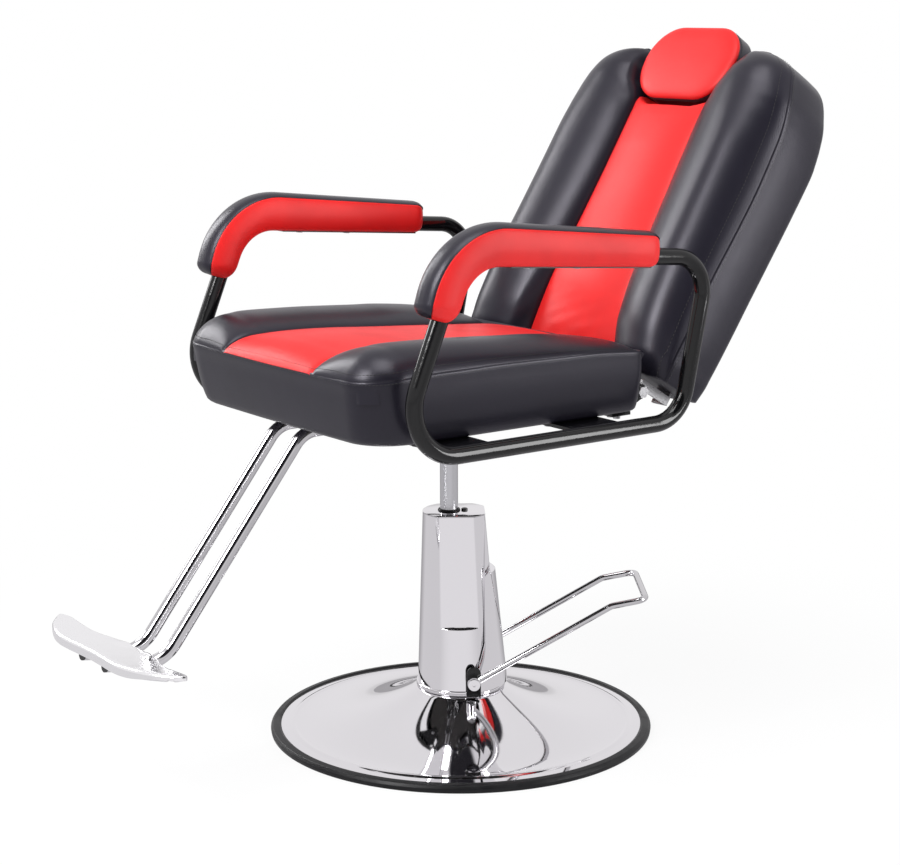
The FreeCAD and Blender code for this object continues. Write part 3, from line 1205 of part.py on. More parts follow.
# Backrest outlines, each as (height up the back, value)

BACK_STEPS = (27, 36, 50, 70, 97, 130, 170, 215, 260, 305, 350, 395, 432, 462, 486, 506, 524, 541, 556, 569,
              580, 588)
BACK_WIDTH = ((27, 244), (50, 249), (100, 251.5), (200, 252), (330, 252), (440, 250), (480, 246.5),
              (506, 241), (530, 233), (551, 222), (566, 208), (577, 190), (584, 172), (588, 154))
BACK_CREST = ((27, 14), (36, 22), (50, 31), (70, 38), (100, 45), (150, 50), (200, 52), (330, 52), (440, 53),
              (490, 52), (524, 48), (541, 43), (557, 34), (572, 21), (582, 6), (588, -8))
PANEL_HALF = ((27, 99), (100, 98), (200, 94), (330, 88), (440, 84), (462, 86), (480, 94), (495, 108),
              (506, 114), (530, 117), (560, 117), (588, 112))
PANEL_SEAM = ((27, -8), (50, -3), (90, 3), (160, 13), (250, 14), (356, 16), (440, 18), (460, 12), (475, -4),
              (486, -18), (496, -27), (520, -28), (588, -34))
WING_SEAM = ((27, -4), (60, 0), (213, 0), (277, -5), (350, -8), (425, -7), (463, -5), (506, 0), (540, 3),
             (566, 2), (580, -6), (588, -14))
REAR_FACE = ((27, -89), (176, -95), (320, -102), (411, -107), (454, -105), (495, -101), (540, -94),
             (570, -87), (588, -79))
WING_SWELL = 3.0


def back_section(u):
    """Outline of the front cushion across the back at height u."""
    w = between(BACK_WIDTH, u)
    b = between(PANEL_HALF, u)
    seam = between(PANEL_SEAM, u)
    edge = between(WING_SEAM, u)
    crest = between(BACK_CREST, u)
    crest_x = (w + b) / 2 + 10
    crown = seam + PANEL_CROWN * (1 - smooth(u, 440, 490)) * smooth(u, 0, 80) + 0.6

    def at(x, n):
        return on_back(x, n, u)
    half = (BOARD_REAR_N + edge) / 2
    return Part.Wire([
        line(at(-w + 3, BOARD_REAR_N), at(w - 3, BOARD_REAR_N)),
        arc(at(w - 3, BOARD_REAR_N), at(w + WING_SWELL, half), at(w - 2, edge)),
        arc(at(w - 2, edge), at(crest_x, crest), at(b, seam)),
        arc(at(b, seam), at(0, crown), at(-b, seam)),
        arc(at(-b, seam), at(-crest_x, crest), at(-w + 2, edge)),
        arc(at(-w + 2, edge), at(-w - WING_SWELL, half), at(-w + 3, BOARD_REAR_N))])


def panel_section(u, grow):
    """The room of the centre panel at height u, grown sideways and down by grow."""
    b = between(PANEL_HALF, u) + grow
    low = between(PANEL_SEAM, u) - PANEL_THICK - grow
    high = between(BACK_CREST, u) + 40
    corners = [on_back(-b, low, u), on_back(b, low, u), on_back(b, high, u), on_back(-b, high, u)]
    return Part.makePolygon(corners + [corners[0]])


def rear_section(u):
    """Outline of the upholstered rear cover at height u."""
    w = between(BACK_WIDTH, u) - 1
    rear = between(REAR_FACE, u)
    front = BOARD_REAR_N - FREE

    def at(x, n):
        return on_back(x, n, u)
    half = (front + rear) / 2
    return Part.Wire([
        line(at(-w, front), at(w, front)),
        arc(at(w, front), at(w - 1, half - 4), at(w - 7, rear)),
        arc(at(w - 7, rear), at(0, rear - 5), at(-w + 7, rear)),
        arc(at(-w + 7, rear), at(-w + 1, half - 4), at(-w, front))])


back_whole = loft([back_section(u) for u in BACK_STEPS])
PANEL_STEPS = (20, 60, 110, 160, 215, 270, 325, 375, 420, 455, PANEL_TOP)
panel_room = loft([panel_section(u, 0.0) for u in PANEL_STEPS])
panel_cut = loft([panel_section(u, PANEL_GAP) for u in PANEL_STEPS])
panel_end = back_box((-far, -far, PANEL_TOP - PANEL_GAP), (far, far, PANEL_TOP + far))
board_low = BACK_FOOT + BACK_BOARD_INSET
board_top = SOCKET_TOP - BACK_BOARD_INSET
board_half = between(BACK_WIDTH, BACK_FOOT) - BACK_BOARD_INSET
board_front_n = BOARD_REAR_N + BACK_BOARD_THICK
board_step = SOCKET_TOP - BACK_BOARD_STEP_DROP
narrow_half = board_half - BACK_BOARD_STEP
back_board = back_box((-board_half, BOARD_REAR_N, board_low), (board_half, board_front_n, board_step))
board_neck = back_box((-narrow_half, BOARD_REAR_N, board_step), (narrow_half, board_front_n, board_top))
back_board = back_board.fuse(board_neck).removeSplitter()
room_rear_n = BOARD_REAR_N - BACK_BOARD_THICK
board_room = back_box((-board_half - FREE, room_rear_n, board_low - FREE),
                      (board_half + FREE, board_front_n + FREE, board_step + FREE))
neck_room = back_box((-narrow_half - FREE, room_rear_n, board_step - BACK_BOARD_THICK),
                     (narrow_half + FREE, board_front_n + FREE, board_top + FREE))
board_room = board_room.fuse(neck_room)

# Headrest sockets inside the backrest, and the posts that slide in them

socket_outer = POST_RADIUS + RUN + SOCKET_WALL
post_block_foot = BACK_STEPS[-1] + POST_BLOCK_GAP
sockets = []
posts = []
post_holes = []
bores = []
for side in (1, -1):
    foot = on_back(POST_X * side, POST_N, SOCKET_FOOT)
    sockets.append(cylinder(socket_outer, SOCKET_TOP - SOCKET_FOOT, foot, BACK_UP))
    bores.append(cylinder(POST_RADIUS + RUN, far, foot, BACK_UP))
    post_holes.append(cylinder(socket_outer + FREE, far, foot - BACK_UP * 10, BACK_UP))
    post_foot = on_back(POST_X * side, POST_N, POST_FOOT)
    post_length = post_block_foot + POST_BLOCK_HEIGHT / 2 - POST_FOOT
    posts.append(cylinder(POST_RADIUS, post_length, post_foot, BACK_UP))
plate_front_n = board_front_n + SOCKET_PLATE
socket_plate_low = (-POST_X - 15, board_front_n, SOCKET_FOOT + 20)
socket_plate_high = (POST_X + 15, plate_front_n, board_top - 5)
socket_plate = back_box(socket_plate_low, socket_plate_high)
socket_frame = fuse([socket_plate] + sockets).cut(bores)
plate_room = back_box((socket_plate_low[0] - FREE, board_front_n - 1, socket_plate_low[2] - FREE),
                      (socket_plate_high[0] + FREE, plate_front_n + FREE, socket_plate_high[2] + FREE))
post_block = back_box((-POST_BLOCK_HALF_WIDTH, POST_N - POST_RADIUS, post_block_foot),
                      (POST_BLOCK_HALF_WIDTH, HEAD_REAR, post_block_foot + POST_BLOCK_HEIGHT))
head_posts = fuse([post_block] + posts)

back_cushion = back_whole.cut([panel_cut, board_room, plate_room] + post_holes)
back_panel = back_whole.common(panel_room).cut([panel_end] + post_holes)
arm_room = back_box((arm_outer - HINGE_ARM_WIDTH - FREE, flange_rear_n - FREE, -30),
                    (arm_outer + FREE, 0, HINGE_ARM_TOP + FREE))
head_rooms = [cylinder(5.5 + FREE, 3.5, on_back(arm_screw_x, flange_rear_n, u), BACK_OUT * -1)
              for u in hinge_screw_heights]
rear_rooms = [m for r in [arm_room] + head_rooms for m in both_sides(r)]
rear_cover = loft([rear_section(u) for u in BACK_STEPS]).cut(rear_rooms)
back_cushion = back_cushion.cut(both_sides(arm_room))
back_board = back_board.cut([m for h in arm_screw_holes for m in both_sides(h)])

save(back_board, "back_board")
save(back_cushion, "back_cushion")
save(back_panel, "back_panel")
save(rear_cover, "back_rear_cover")
save(socket_frame, "headrest_socket")
save(head_posts, "headrest_posts")

# Headrest cushion and its black base

head_split = HEAD_REAR + HEAD_BASE_THICK


def head_outline(n, inset):
    """Rounded outline of the headrest at depth n, drawn in by inset."""
    foot = HEAD_FOOT + inset
    top = HEAD_TOP - inset
    foot_w = HEAD_FOOT_HALF_WIDTH - inset
    top_w = HEAD_HALF_WIDTH - inset
    corners = [on_back(-foot_w, n, foot), on_back(foot_w, n, foot), on_back(top_w, n, top),
               on_back(-top_w, n, top)]
    radius = HEAD_CORNER - inset * 0.9
    return Part.Wire(rounded_path(corners, [radius] * 4, closed=True))


# The cushion's crown: distance in from its front, then how far the outline draws in.
HEAD_CROWN = ((21.0, 0.0), (15.0, 0.5), (9.5, 4.0), (5.0, 11.0), (2.0, 21.0), (0.0, 36.0))
head_cushion = loft([head_outline(head_split + FREE, 1.0)]
                    + [head_outline(HEAD_FRONT - d, inset) for d, inset in HEAD_CROWN[1:]])
head_base = loft([head_outline(HEAD_REAR, 5.0), head_outline(HEAD_REAR + 5, 1.0),
                  head_outline(HEAD_REAR + 13, 0.0), head_outline(head_split, 0.5)])
save(head_cushion, "headrest_cushion")
save(head_base, "headrest_base")

# Recline lever on the sitter's right

lever_inner = LEVER_X - LEVER_THICK / 2
lever_hub = cylinder(LEVER_HUB, lever_outer - web_outer - SIDE,
                     V(web_outer + SIDE, HINGE_Y, HINGE_Z), X_AXIS)
lever_bar = box(V(lever_inner, HINGE_Y, HINGE_Z - LEVER_WIDTH / 2),
                V(lever_outer, HINGE_Y + LEVER_LENGTH, HINGE_Z + LEVER_WIDTH / 2))
lever_bore = cylinder(HINGE_BOLT + RUN, far, V(web_inner, HINGE_Y, HINGE_Z), X_AXIS)
lever = fuse([lever_hub, lever_bar]).cut(lever_bore)
grip_start = HINGE_Y + LEVER_LENGTH - GRIP_LENGTH
grip_half = LEVER_WIDTH / 2 + GRIP_WALL
grip = box(V(lever_inner - GRIP_WALL, grip_start, HINGE_Z - grip_half),
           V(lever_outer + GRIP_WALL, HINGE_Y + LEVER_LENGTH + GRIP_WALL, HINGE_Z + grip_half))
grip = grip.makeFillet(3.0, grip.Edges)
grip = grip.cut(lever_bar)
save(mirrored(lever), "recline_lever")
save(mirrored(grip), "lever_grip")
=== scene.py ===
import json
import math
import bmesh
import bpy
import numpy as np
from mathutils import Matrix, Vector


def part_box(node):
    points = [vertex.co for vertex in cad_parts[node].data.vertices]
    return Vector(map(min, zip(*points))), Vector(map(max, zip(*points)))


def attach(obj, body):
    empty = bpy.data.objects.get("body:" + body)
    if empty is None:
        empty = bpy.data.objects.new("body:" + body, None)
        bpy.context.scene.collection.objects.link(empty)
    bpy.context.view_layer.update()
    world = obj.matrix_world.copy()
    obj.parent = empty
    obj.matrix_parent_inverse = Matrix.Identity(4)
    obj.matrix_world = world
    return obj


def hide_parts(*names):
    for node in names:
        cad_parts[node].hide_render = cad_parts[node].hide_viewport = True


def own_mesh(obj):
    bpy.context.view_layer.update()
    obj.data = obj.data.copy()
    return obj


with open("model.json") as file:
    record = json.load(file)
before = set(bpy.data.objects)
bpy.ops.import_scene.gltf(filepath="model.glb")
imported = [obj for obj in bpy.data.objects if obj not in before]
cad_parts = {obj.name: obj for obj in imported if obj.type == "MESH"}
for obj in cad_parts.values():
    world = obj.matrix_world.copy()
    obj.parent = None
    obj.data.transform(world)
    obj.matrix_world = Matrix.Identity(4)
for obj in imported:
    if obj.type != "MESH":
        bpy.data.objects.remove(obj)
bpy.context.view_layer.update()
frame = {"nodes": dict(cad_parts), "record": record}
nodes = frame["nodes"]

# Studio. A white room, a camera at the photograph's angle, tall soft lamps in front, at
# the left and at the right, and one above. Polished metal sees the white room with one
# dark opening in it, above and behind the camera.
EYE = (2.545, -1.870, 1.119)
EYE_TURN, EYE_DIP = 52.98, 11.51
PICTURE = (900, 865)
FOCAL_PIXELS, AXIS_PIXEL = 2091.76, (474.34, 430.46)
LAMP_AIM = (0, 0, 0.6)


def direction(turn, rise=0.0):
    """A unit vector at a turn from the chair's front towards its left and at a rise, in degrees."""
    a, b = math.radians(turn), math.radians(rise)
    return np.array([math.sin(a) * math.cos(b), -math.cos(a) * math.cos(b), math.sin(b)])


def stand(name, data, place, turn, rise):
    """Stands a camera or lamp at a place, its back towards a direction and its right side level."""
    thing = bpy.data.objects.new(name, data)
    bpy.context.scene.collection.objects.link(thing)
    back, right = direction(turn, rise), direction(turn + 90)
    axes = np.column_stack([right, np.cross(back, right), back, place])
    thing.matrix_world = Matrix(axes.tolist() + [[0, 0, 0, 1]])
    return thing


lens = bpy.data.cameras.new("photo_camera")
lens.sensor_width = 36.0
lens.sensor_fit = "HORIZONTAL"
lens.lens = FOCAL_PIXELS * lens.sensor_width / PICTURE[0]
lens.shift_x = -(AXIS_PIXEL[0] - PICTURE[0] / 2) / PICTURE[0]
lens.shift_y = (AXIS_PIXEL[1] - PICTURE[1] / 2) / PICTURE[0]
bpy.context.scene.camera = stand("photo_camera", lens, EYE, EYE_TURN, EYE_DIP)


def lamp(name, turn, rise, distance, size, power):
    """A soft rectangular lamp that faces the middle of the chair."""
    data = bpy.data.lights.new(name, "AREA")
    data.shape = "RECTANGLE"
    data.size, data.size_y = size
    data.energy = power
    stand(name, data, LAMP_AIM + direction(turn, rise) * distance, turn, rise)


lamp("lamp_key", 4, 40, 3.2, (0.9, 1.6), 80)
lamp("lamp_left", -74, 26, 3.2, (0.7, 1.8), 40)
lamp("lamp_side", 124, 12, 3.2, (0.8, 1.8), 46)
lamp("lamp_top", 60, 78, 3.0, (1.6, 1.6), 40)


class Value:
    """A shader number. Python arithmetic on it adds one Math node for each operation."""

    def __init__(self, graph, out):
        self.graph = graph
        self.out = out

    def __add__(self, other):
        return self.graph.node("ShaderNodeMath", {"operation": "ADD"}, {0: self, 1: other})

    def __mul__(self, other):
        return self.graph.node("ShaderNodeMath", {"operation": "MULTIPLY"}, {0: self, 1: other})

    def step(self, low, high):
        """0 below low, 1 above high, smooth between."""
        return self.graph.node("ShaderNodeMapRange", {"interpolation_type": "SMOOTHSTEP"}, {0: self, 1: low, 2: high})


class Graph:
    """A node tree that grows by one node a call."""

    def __init__(self, tree):
        self.tree = tree

    def join(self, socket, value):
        if isinstance(value, Value):
            self.tree.links.new(value.out, socket)
        else:
            socket.default_value = value

    def node(self, kind, settings=None, inputs=None, out=0):
        """One node with its settings and inputs. A ramp's stops are its kind and rows of (position, colour)."""
        made = self.tree.nodes.new(kind)
        for key, value in (settings or {}).items():
            if key == "stops":
                made.color_ramp.interpolation, rows = value
                for _ in rows[2:]:
                    made.color_ramp.elements.new(0.5)
                for stop, (position, colour) in zip(made.color_ramp.elements, rows):
                    stop.position, stop.color = position, colour
            else:
                setattr(made, key, value)
        for key, value in (inputs or {}).items():
            self.join(made.inputs[key], value)
        return Value(self, made.outputs[out])

    def vector(self, operation, *values, out="Value"):
        return self.node("ShaderNodeVectorMath", {"operation": operation}, dict(enumerate(values)), out)

    def seen_by(self, kind):
        """1 for rays of a kind: Camera, Glossy or Transmission."""
        return self.node("ShaderNodeLightPath", out="Is " + kind + " Ray")

    def mix(self, share, one, other):
        """A colour between two colours."""
        return self.node("ShaderNodeMix", {"data_type": "RGBA"}, {0: share, 6: one, 7: other}, out=2)


class Finish(Graph):
    """One material: a Principled surface and the nodes that vary it over the piece."""

    def __init__(self, name, slot, colour, roughness, metallic=0.0, **fixed):
        self.slot = slot
        self.material = bpy.data.materials.new(name)
        self.material.use_nodes = True
        super().__init__(self.material.node_tree)
        self.surface = self.tree.nodes["Principled BSDF"]
        self.colour = colour
        self.put("Base Color", (*colour, 1.0))
        self.put("Roughness", roughness)
        self.put("Metallic", metallic)
        for socket, value in fixed.items():
            self.put(socket.replace("_", " "), value)

    def put(self, socket, value):
        self.join(self.surface.inputs[socket], value)

    def place(self, stretch=(1, 1, 1), turn=(0, 0, 0)):
        """Object coordinates in metres, stretched and turned."""
        where = self.node("ShaderNodeTexCoord", out="Object")
        return self.node("ShaderNodeMapping", None, {"Vector": where, "Scale": stretch, "Rotation": turn})

    def noise(self, per_metre, detail=2.0, stretch=(1, 1, 1)):
        inputs = {"Vector": self.place(stretch), "Scale": per_metre, "Detail": detail}
        return self.node("ShaderNodeTexNoise", None, inputs)

    def shade(self, share, darker):
        """Varies the base colour between itself and a multiple of itself."""
        dark = tuple(c * darker for c in self.colour) + (1.0,)
        self.put("Base Color", self.mix(share, (*self.colour, 1.0), dark))

    def bump(self, height, depth, before=None):
        """A bump of a depth in metres, on top of an earlier one."""
        inputs = {"Strength": 1.0, "Distance": depth, "Height": height}
        if before is not None:
            inputs["Normal"] = before
        return self.node("ShaderNodeBump", None, inputs)

    def worn(self, cloud, more, least, grain, depth):
        """A roughness that rises from least by more in clouds, and a bump of fine grain."""
        self.put("Roughness", cloud * more + least)
        self.put("Normal", self.bump(grain, depth))


WHITE = (1.0, 1.0, 1.0, 1.0)
ROOM_LEVELS = ((0.0, 0.80), (0.47, 0.80), (0.505, 0.62), (0.53, 0.86), (0.64, 0.92), (0.80, 0.85), (1.0, 0.95))
ROOM_GREY = (0.26, 0.26, 0.28, 1.0)
# The opening's turn and rise, then where white turns to dark: degrees from its middle, height
OPENING, OPENING_EDGE, OPENING_SILL = (61, 33), (40, 30), (0.27, 0.42)
OPENING_GREY = (0.022, 0.021, 0.025, 1.0)
world = bpy.data.worlds.new("white_room")
world.use_nodes = True
bpy.context.scene.world = world
room = Graph(world.node_tree)
toward = room.node("ShaderNodeTexCoord", out="Generated")
height = room.node("ShaderNodeSeparateXYZ", None, {0: toward}, out=2)
stops = [(share, (level, level * 0.985, level, 1.0)) for share, level in ROOM_LEVELS]
walls = room.node("ShaderNodeValToRGB", {"stops": ("B_SPLINE", stops)}, {0: height * 0.5 + 0.5})
into = room.vector("DOT_PRODUCT", toward, direction(*OPENING).tolist())
dark = into.step(*(math.cos(math.radians(edge)) for edge in OPENING_EDGE)) * height.step(*OPENING_SILL)
lit = room.mix(room.seen_by("Glossy"), ROOM_GREY, room.mix(dark, walls, OPENING_GREY))
straight = room.seen_by("Camera") + room.seen_by("Transmission")
room.join(room.tree.nodes["Background"].inputs["Color"], room.mix(straight, lit, WHITE))

# Floor. White paper without an edge. Metal sees it a little darker than the camera does,
# and greyer on the side that lies away from the camera.
FLOOR_HALF = 9.0
paper = Finish("white_paper", "", (0.93, 0.93, 0.93), 0.9)
away = paper.vector("LENGTH", paper.place()).step(0.35, 1.3)
outward = paper.vector("NORMALIZE", paper.place(), out="Vector")
facing = paper.vector("DOT_PRODUCT", outward, direction(EYE_TURN).tolist())
level = facing.step(-0.98, -0.45) * 0.68 + facing.step(0.55, 0.97) * 0.32
tone = paper.mix(level, (0.40, 0.39, 0.405, 1), (0.89, 0.875, 0.895, 1))
plain = Value(paper, paper.surface.outputs[0])
mirrored, glow = (paper.node("ShaderNodeEmission", None, {"Color": c, "Strength": 1.0}) for c in (tone, WHITE))
for share, other in ((paper.seen_by("Glossy"), mirrored), (paper.seen_by("Camera") * (away * 0.10 + 0.90), glow)):
    plain = paper.node("ShaderNodeMixShader", None, {0: share, 1: plain, 2: other})
paper.join(paper.tree.nodes["Material Output"].inputs["Surface"], plain)
floor_mesh = bpy.data.meshes.new("floor")
floor_mesh.from_pydata([(x * FLOOR_HALF, y * FLOOR_HALF, 0) for x, y in ((-1, -1), (1, -1), (1, 1), (-1, 1))], [],
                       [(0, 1, 2, 3)])
floor_mesh.materials.append(paper.material)
floor = bpy.data.objects.new("floor", floor_mesh)
bpy.context.scene.collection.objects.link(floor)

# Base. A spun steel dish with a bright chromed skin: a nearly flat apron that sweeps up
# into a neck, with a bead and a lip at its edge. It is turned under the seat so that the
# pedal comes out behind the sitter's left, and a moulded rubber rim is pressed round it.
SIDES = ((1, "left"), (-1, "right"))
BASE_TURN, BASE_SETBACK = math.radians(35), 0.018
RIM, RIM_WIDTH = 0.300, 0.018
LIP, APRON, NECK = (0.288, 0.010), (0.235, 0.0145), (0.070, 0.069)
SHEET, PUMP_BORE, PLUNGER_REACH, BORE_WITHIN = 0.0025, 0.0265, 0.0690, 0.0315


def turned(P):
    """Points of the base as drawn with the pedal straight back, turned to their real place."""
    c, s = math.cos(BASE_TURN), math.sin(BASE_TURN)
    return np.stack([P[..., 0] * c + P[..., 1] * s, P[..., 1] * c - P[..., 0] * s, P[..., 2]], -1)


def round_turn(count):
    return np.linspace(0, 2 * np.pi, count, endpoint=False)


def piece_of(name, P, faces, body, finish, stands_for=(), sharp=38, weld=None):
    """A mesh whose faces look outwards, with its finish, crisp edges, its body and the nodes it stands for."""
    mesh = bpy.data.meshes.new(name)
    mesh.from_pydata(P.reshape(-1, 3).tolist(), [], faces.tolist())
    form = bmesh.new()
    form.from_mesh(mesh)
    if weld:
        bmesh.ops.remove_doubles(form, verts=form.verts, dist=weld)
    bmesh.ops.recalc_face_normals(form, faces=form.faces)
    form.to_mesh(mesh)
    form.free()
    mesh.materials.append(finish.material)
    mesh.shade_smooth()
    mesh.set_sharp_from_angle(angle=math.radians(sharp))
    piece = bpy.data.objects.new(name, mesh)
    bpy.context.scene.collection.objects.link(piece)
    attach(piece, body)
    if stands_for:
        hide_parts(*stands_for)
    return piece


def grid_faces(index):
    return np.stack([index[:-1, :-1], index[1:, :-1], index[1:, 1:], index[:-1, 1:]], -1).reshape(-1, 4)


def skin(name, P, *fitting, ring=False, sharp=38):
    """A piece over rows of points that each go round; with ring, the last row meets the first."""
    index = np.arange(P.shape[0] * P.shape[1]).reshape(P.shape[:2])
    index = np.vstack([index, index[:1]]) if ring else index
    faces = grid_faces(np.hstack([index, index[:, :1]]))
    return piece_of(name, P, faces, *fitting, sharp=sharp, weld=2e-6)


def spun(profile, setback=0.0, count=144):
    """A closed profile of (radius, height) carried round an upright axis."""
    turn = round_turn(count)
    r, z = profile[:, 0, None], profile[:, 1, None]
    return np.stack([r * np.cos(turn), setback + r * np.sin(turn), z + 0 * turn], -1)


def unit(v):
    return v / np.linalg.norm(v, axis=-1, keepdims=True)


def round_corner(before, corner, after, radius, count=5):
    """Points of a circular arc that rounds one corner of an outline."""
    into, out = unit(corner - before), unit(after - corner)
    turn = math.acos(max(-1.0, min(1.0, float(into @ out))))
    if turn < 1e-4:
        return corner[None]
    reach = radius * math.tan(turn / 2)
    middle = corner + unit(out - into) * math.hypot(radius, reach)
    angle = np.linspace(0, turn, count)[:, None]
    return middle + (corner - into * reach - middle) * np.cos(angle) + into * radius * np.sin(angle)


def softened(corners, radii, closed=False, count=6):
    """An outline through corners, each rounded by its own radius; a scalar rounds them all."""
    corners = np.array(corners, float)
    radii = np.full(len(corners), radii) if np.isscalar(radii) else np.array(radii)
    if not closed:
        radii[[0, -1]] = 0
    near = zip(np.roll(corners, 1, axis=0), corners, np.roll(corners, -1, axis=0), radii)
    return np.concatenate([round_corner(a, b, c, radius, count) if radius else b[None] for a, b, c, radius in near])


def run_along(line):
    """How far along a line each of its points lies."""
    return np.concatenate([[0], np.cumsum(np.linalg.norm(np.diff(line, axis=0), axis=1))])


def evenly(points, count, closed=False):
    """The same line with count points at equal distances along it."""
    if closed:
        points = np.vstack([points, points[:1]])
    run = run_along(points)
    at = np.linspace(0, run[-1], count + 1)[:-1] if closed else np.linspace(0, run[-1], count)
    return np.stack([np.interp(at, run, points[:, k]) for k in range(points.shape[1])], -1)


chrome = Finish("chrome", "chrome", (0.79, 0.78, 0.80), 0.04, 1.0)
haze = chrome.noise(9.0, 4.0).step(0.35, 0.75)
wipe = chrome.noise(60.0, 3.0, (1, 1, 6)).step(0.45, 0.8)
chrome.put("Roughness", haze * 0.03 + wipe * 0.025 + 0.025)
chrome.put("Normal", chrome.bump(chrome.noise(9.0, 1.0), 0.00010))

rubber = Finish("rim_rubber", "rubber", (0.007, 0.007, 0.008), 0.45, Specular_IOR_Level=0.22)
dust = rubber.noise(40.0, 5.0).step(0.4, 0.8)
rubber.put("Base Color", rubber.mix(dust, (0.005, 0.005, 0.006, 1), (0.012, 0.012, 0.013, 1)))
rubber.worn(dust, 0.15, 0.38, rubber.noise(900.0, 2.0), 0.00008)

apron_slope = math.atan2(APRON[1] - LIP[1], LIP[0] - APRON[0])
run, rise = APRON[0] - NECK[0], NECK[1] - APRON[1]
sweep_radius = (run ** 2 + rise ** 2) / (2 * (rise * math.cos(apron_slope) - run * math.sin(apron_slope)))
sweep_middle = np.array(APRON) + sweep_radius * np.array([math.sin(apron_slope), math.cos(apron_slope)])
start, end = (math.atan2(z - sweep_middle[1], r - sweep_middle[0]) for r, z in (NECK, APRON))
turns = np.linspace(start, end, 40)


def sweep_line(offset):
    """The dish's section from the neck to the apron, moved down into the sheet by offset."""
    r = sweep_radius + offset
    return np.stack([sweep_middle[0] + r * np.cos(turns), sweep_middle[1] + r * np.sin(turns)], -1)


def base_ring(name, line, finish, node, count=192, sharp=38):
    """A profile spun about the base's axis; a bore for the ram is drawn out to the rear for the plunger."""
    P = spun(line, BASE_SETBACK, count)
    inner = line[:, 0] < BORE_WITHIN
    share = (PUMP_BORE / line[inner, 0])[:, None]
    y = (P[inner, :, 1] - BASE_SETBACK) * share
    P[inner, :, 0] *= share
    P[inner, :, 1] = np.where(y > 0, y * PLUNGER_REACH / PUMP_BORE, y)
    skin(name, turned(P), "base", finish, [node], ring=True, sharp=sharp)


top_line = np.vstack([[(PUMP_BORE, NECK[1]), (0.064, NECK[1]), (NECK[0] - 0.001, NECK[1] - 0.0003)],
                      sweep_line(0.0)[1:],
                      [(0.2585, 0.01250), (0.2605, 0.01275), (0.2622, 0.01335), (0.2640, 0.01355), (0.2660, 0.01335),
                       (0.2680, 0.01265), (0.2700, 0.01165), (0.2715, 0.01140), LIP]])
under_line = np.vstack([[(LIP[0], LIP[1] - SHEET)], sweep_line(SHEET)[::-1], [(PUMP_BORE, NECK[1] - SHEET)]])
base_ring("dish", np.vstack([top_line, under_line]), chrome, "base_dish", sharp=50)
rim_line = softened([(RIM - RIM_WIDTH, 0.0), (RIM - 0.001, 0.0), (RIM, 0.0065), (RIM - 0.004, 0.0115),
                     (RIM - 0.013, 0.0128), (RIM - 0.0165, 0.0105), (RIM - RIM_WIDTH, 0.009)],
                    [0.001, 0.002, 0.0028, 0.003, 0.0015, 0.0006, 0.001], True)
base_ring("rubber_rim", rim_line, rubber, "base_edge_ring")

# Collar. A turned steel flange, chromed, that carries the pump and is bolted to the
# neck; the cover stands on it.
COLLAR_FOOT, COLLAR_TOP, COLLAR_BORE = 0.0695, 0.077, 0.030
collar_line = softened([(COLLAR_BORE, COLLAR_FOOT), (NECK[0], COLLAR_FOOT), (NECK[0], COLLAR_TOP),
                        (COLLAR_BORE, COLLAR_TOP)], [0.0003, 0.0012, 0.0012, 0.0003], True)
base_ring("collar", collar_line, chrome, "pump_flange", 144)

# Cover. Two chromed pressed-steel shells over the pump: a tall cone with a flat pressed
# into each side and a shorter one at the rear, each with a curved ledge at its foot. The
# rear shell laps over the front one at a seam that drops beside the pedal's ear.
COVER_FOOT, COVER_TOP, WALL = 0.077, 0.3485, 0.002
FOOT_RADIUS, TOP_RADIUS, REAR_FOOT_RADIUS = 0.0675, 0.0515, 0.073
TOP_SETBACK, FLAT_DEPTH = 0.0105, 0.007
SIDE_LEDGE, REAR_LEDGE = 0.175, 0.258
SEAM_TOP, SEAM_FOOT, SEAM_BEND = 0.054, 0.041, (0.1045, 0.150)
LEDGE_SOFT, FLAT_SOFT = 0.00035, 0.0006


def up_cover(z, foot, top, start=COVER_FOOT):
    """A size that changes evenly from foot, at the height start, to top at the cover's top."""
    return foot + (top - foot) * (z - start) / (COVER_TOP - start)


def flat_distance(z, ledge):
    """Distance of a flat from the cone's axis."""
    low = up_cover(ledge, FOOT_RADIUS, TOP_RADIUS) - FLAT_DEPTH
    return up_cover(z, low, TOP_RADIUS - FLAT_DEPTH, ledge)


def cover_reach(z, turn, foot):
    """Distance from the axis to the cover's skin: the cone, or the nearest flat where one is pressed in."""
    reach = up_cover(z, foot, TOP_RADIUS)
    for toward, ledge in ((0.0, SIDE_LEDGE), (np.pi, SIDE_LEDGE), (np.pi / 2, REAR_LEDGE)):
        facing = np.cos(turn - toward)
        flat = np.where(facing > 0.3, flat_distance(z, ledge) / np.maximum(facing, 0.3), 1.0)
        inside = 1 / (1 + np.exp(-(z - ledge) / LEDGE_SOFT))
        pressed = -FLAT_SOFT * np.log(np.exp(-np.minimum(flat, 0.2) / FLAT_SOFT) + np.exp(-reach / FLAT_SOFT))
        reach = reach + (pressed - reach) * inside
    return reach


def flat_edge(z, ledge):
    """Angle from the middle of a flat to its edge."""
    z = np.maximum(z, ledge)
    return np.arccos(np.clip(flat_distance(z, ledge) / up_cover(z, FOOT_RADIUS, TOP_RADIUS), 0, 1))


def seam_turn(z, foot):
    """Angle at which the seam between the shells crosses the cone at a height."""
    place = np.interp(z, [COVER_FOOT, *SEAM_BEND, COVER_TOP], [SEAM_FOOT, SEAM_FOOT, SEAM_TOP, SEAM_TOP])
    centre = up_cover(z, BASE_SETBACK, TOP_SETBACK)
    return np.arcsin(np.clip((place - centre) / up_cover(z, foot, TOP_RADIUS), -1, 0.96))


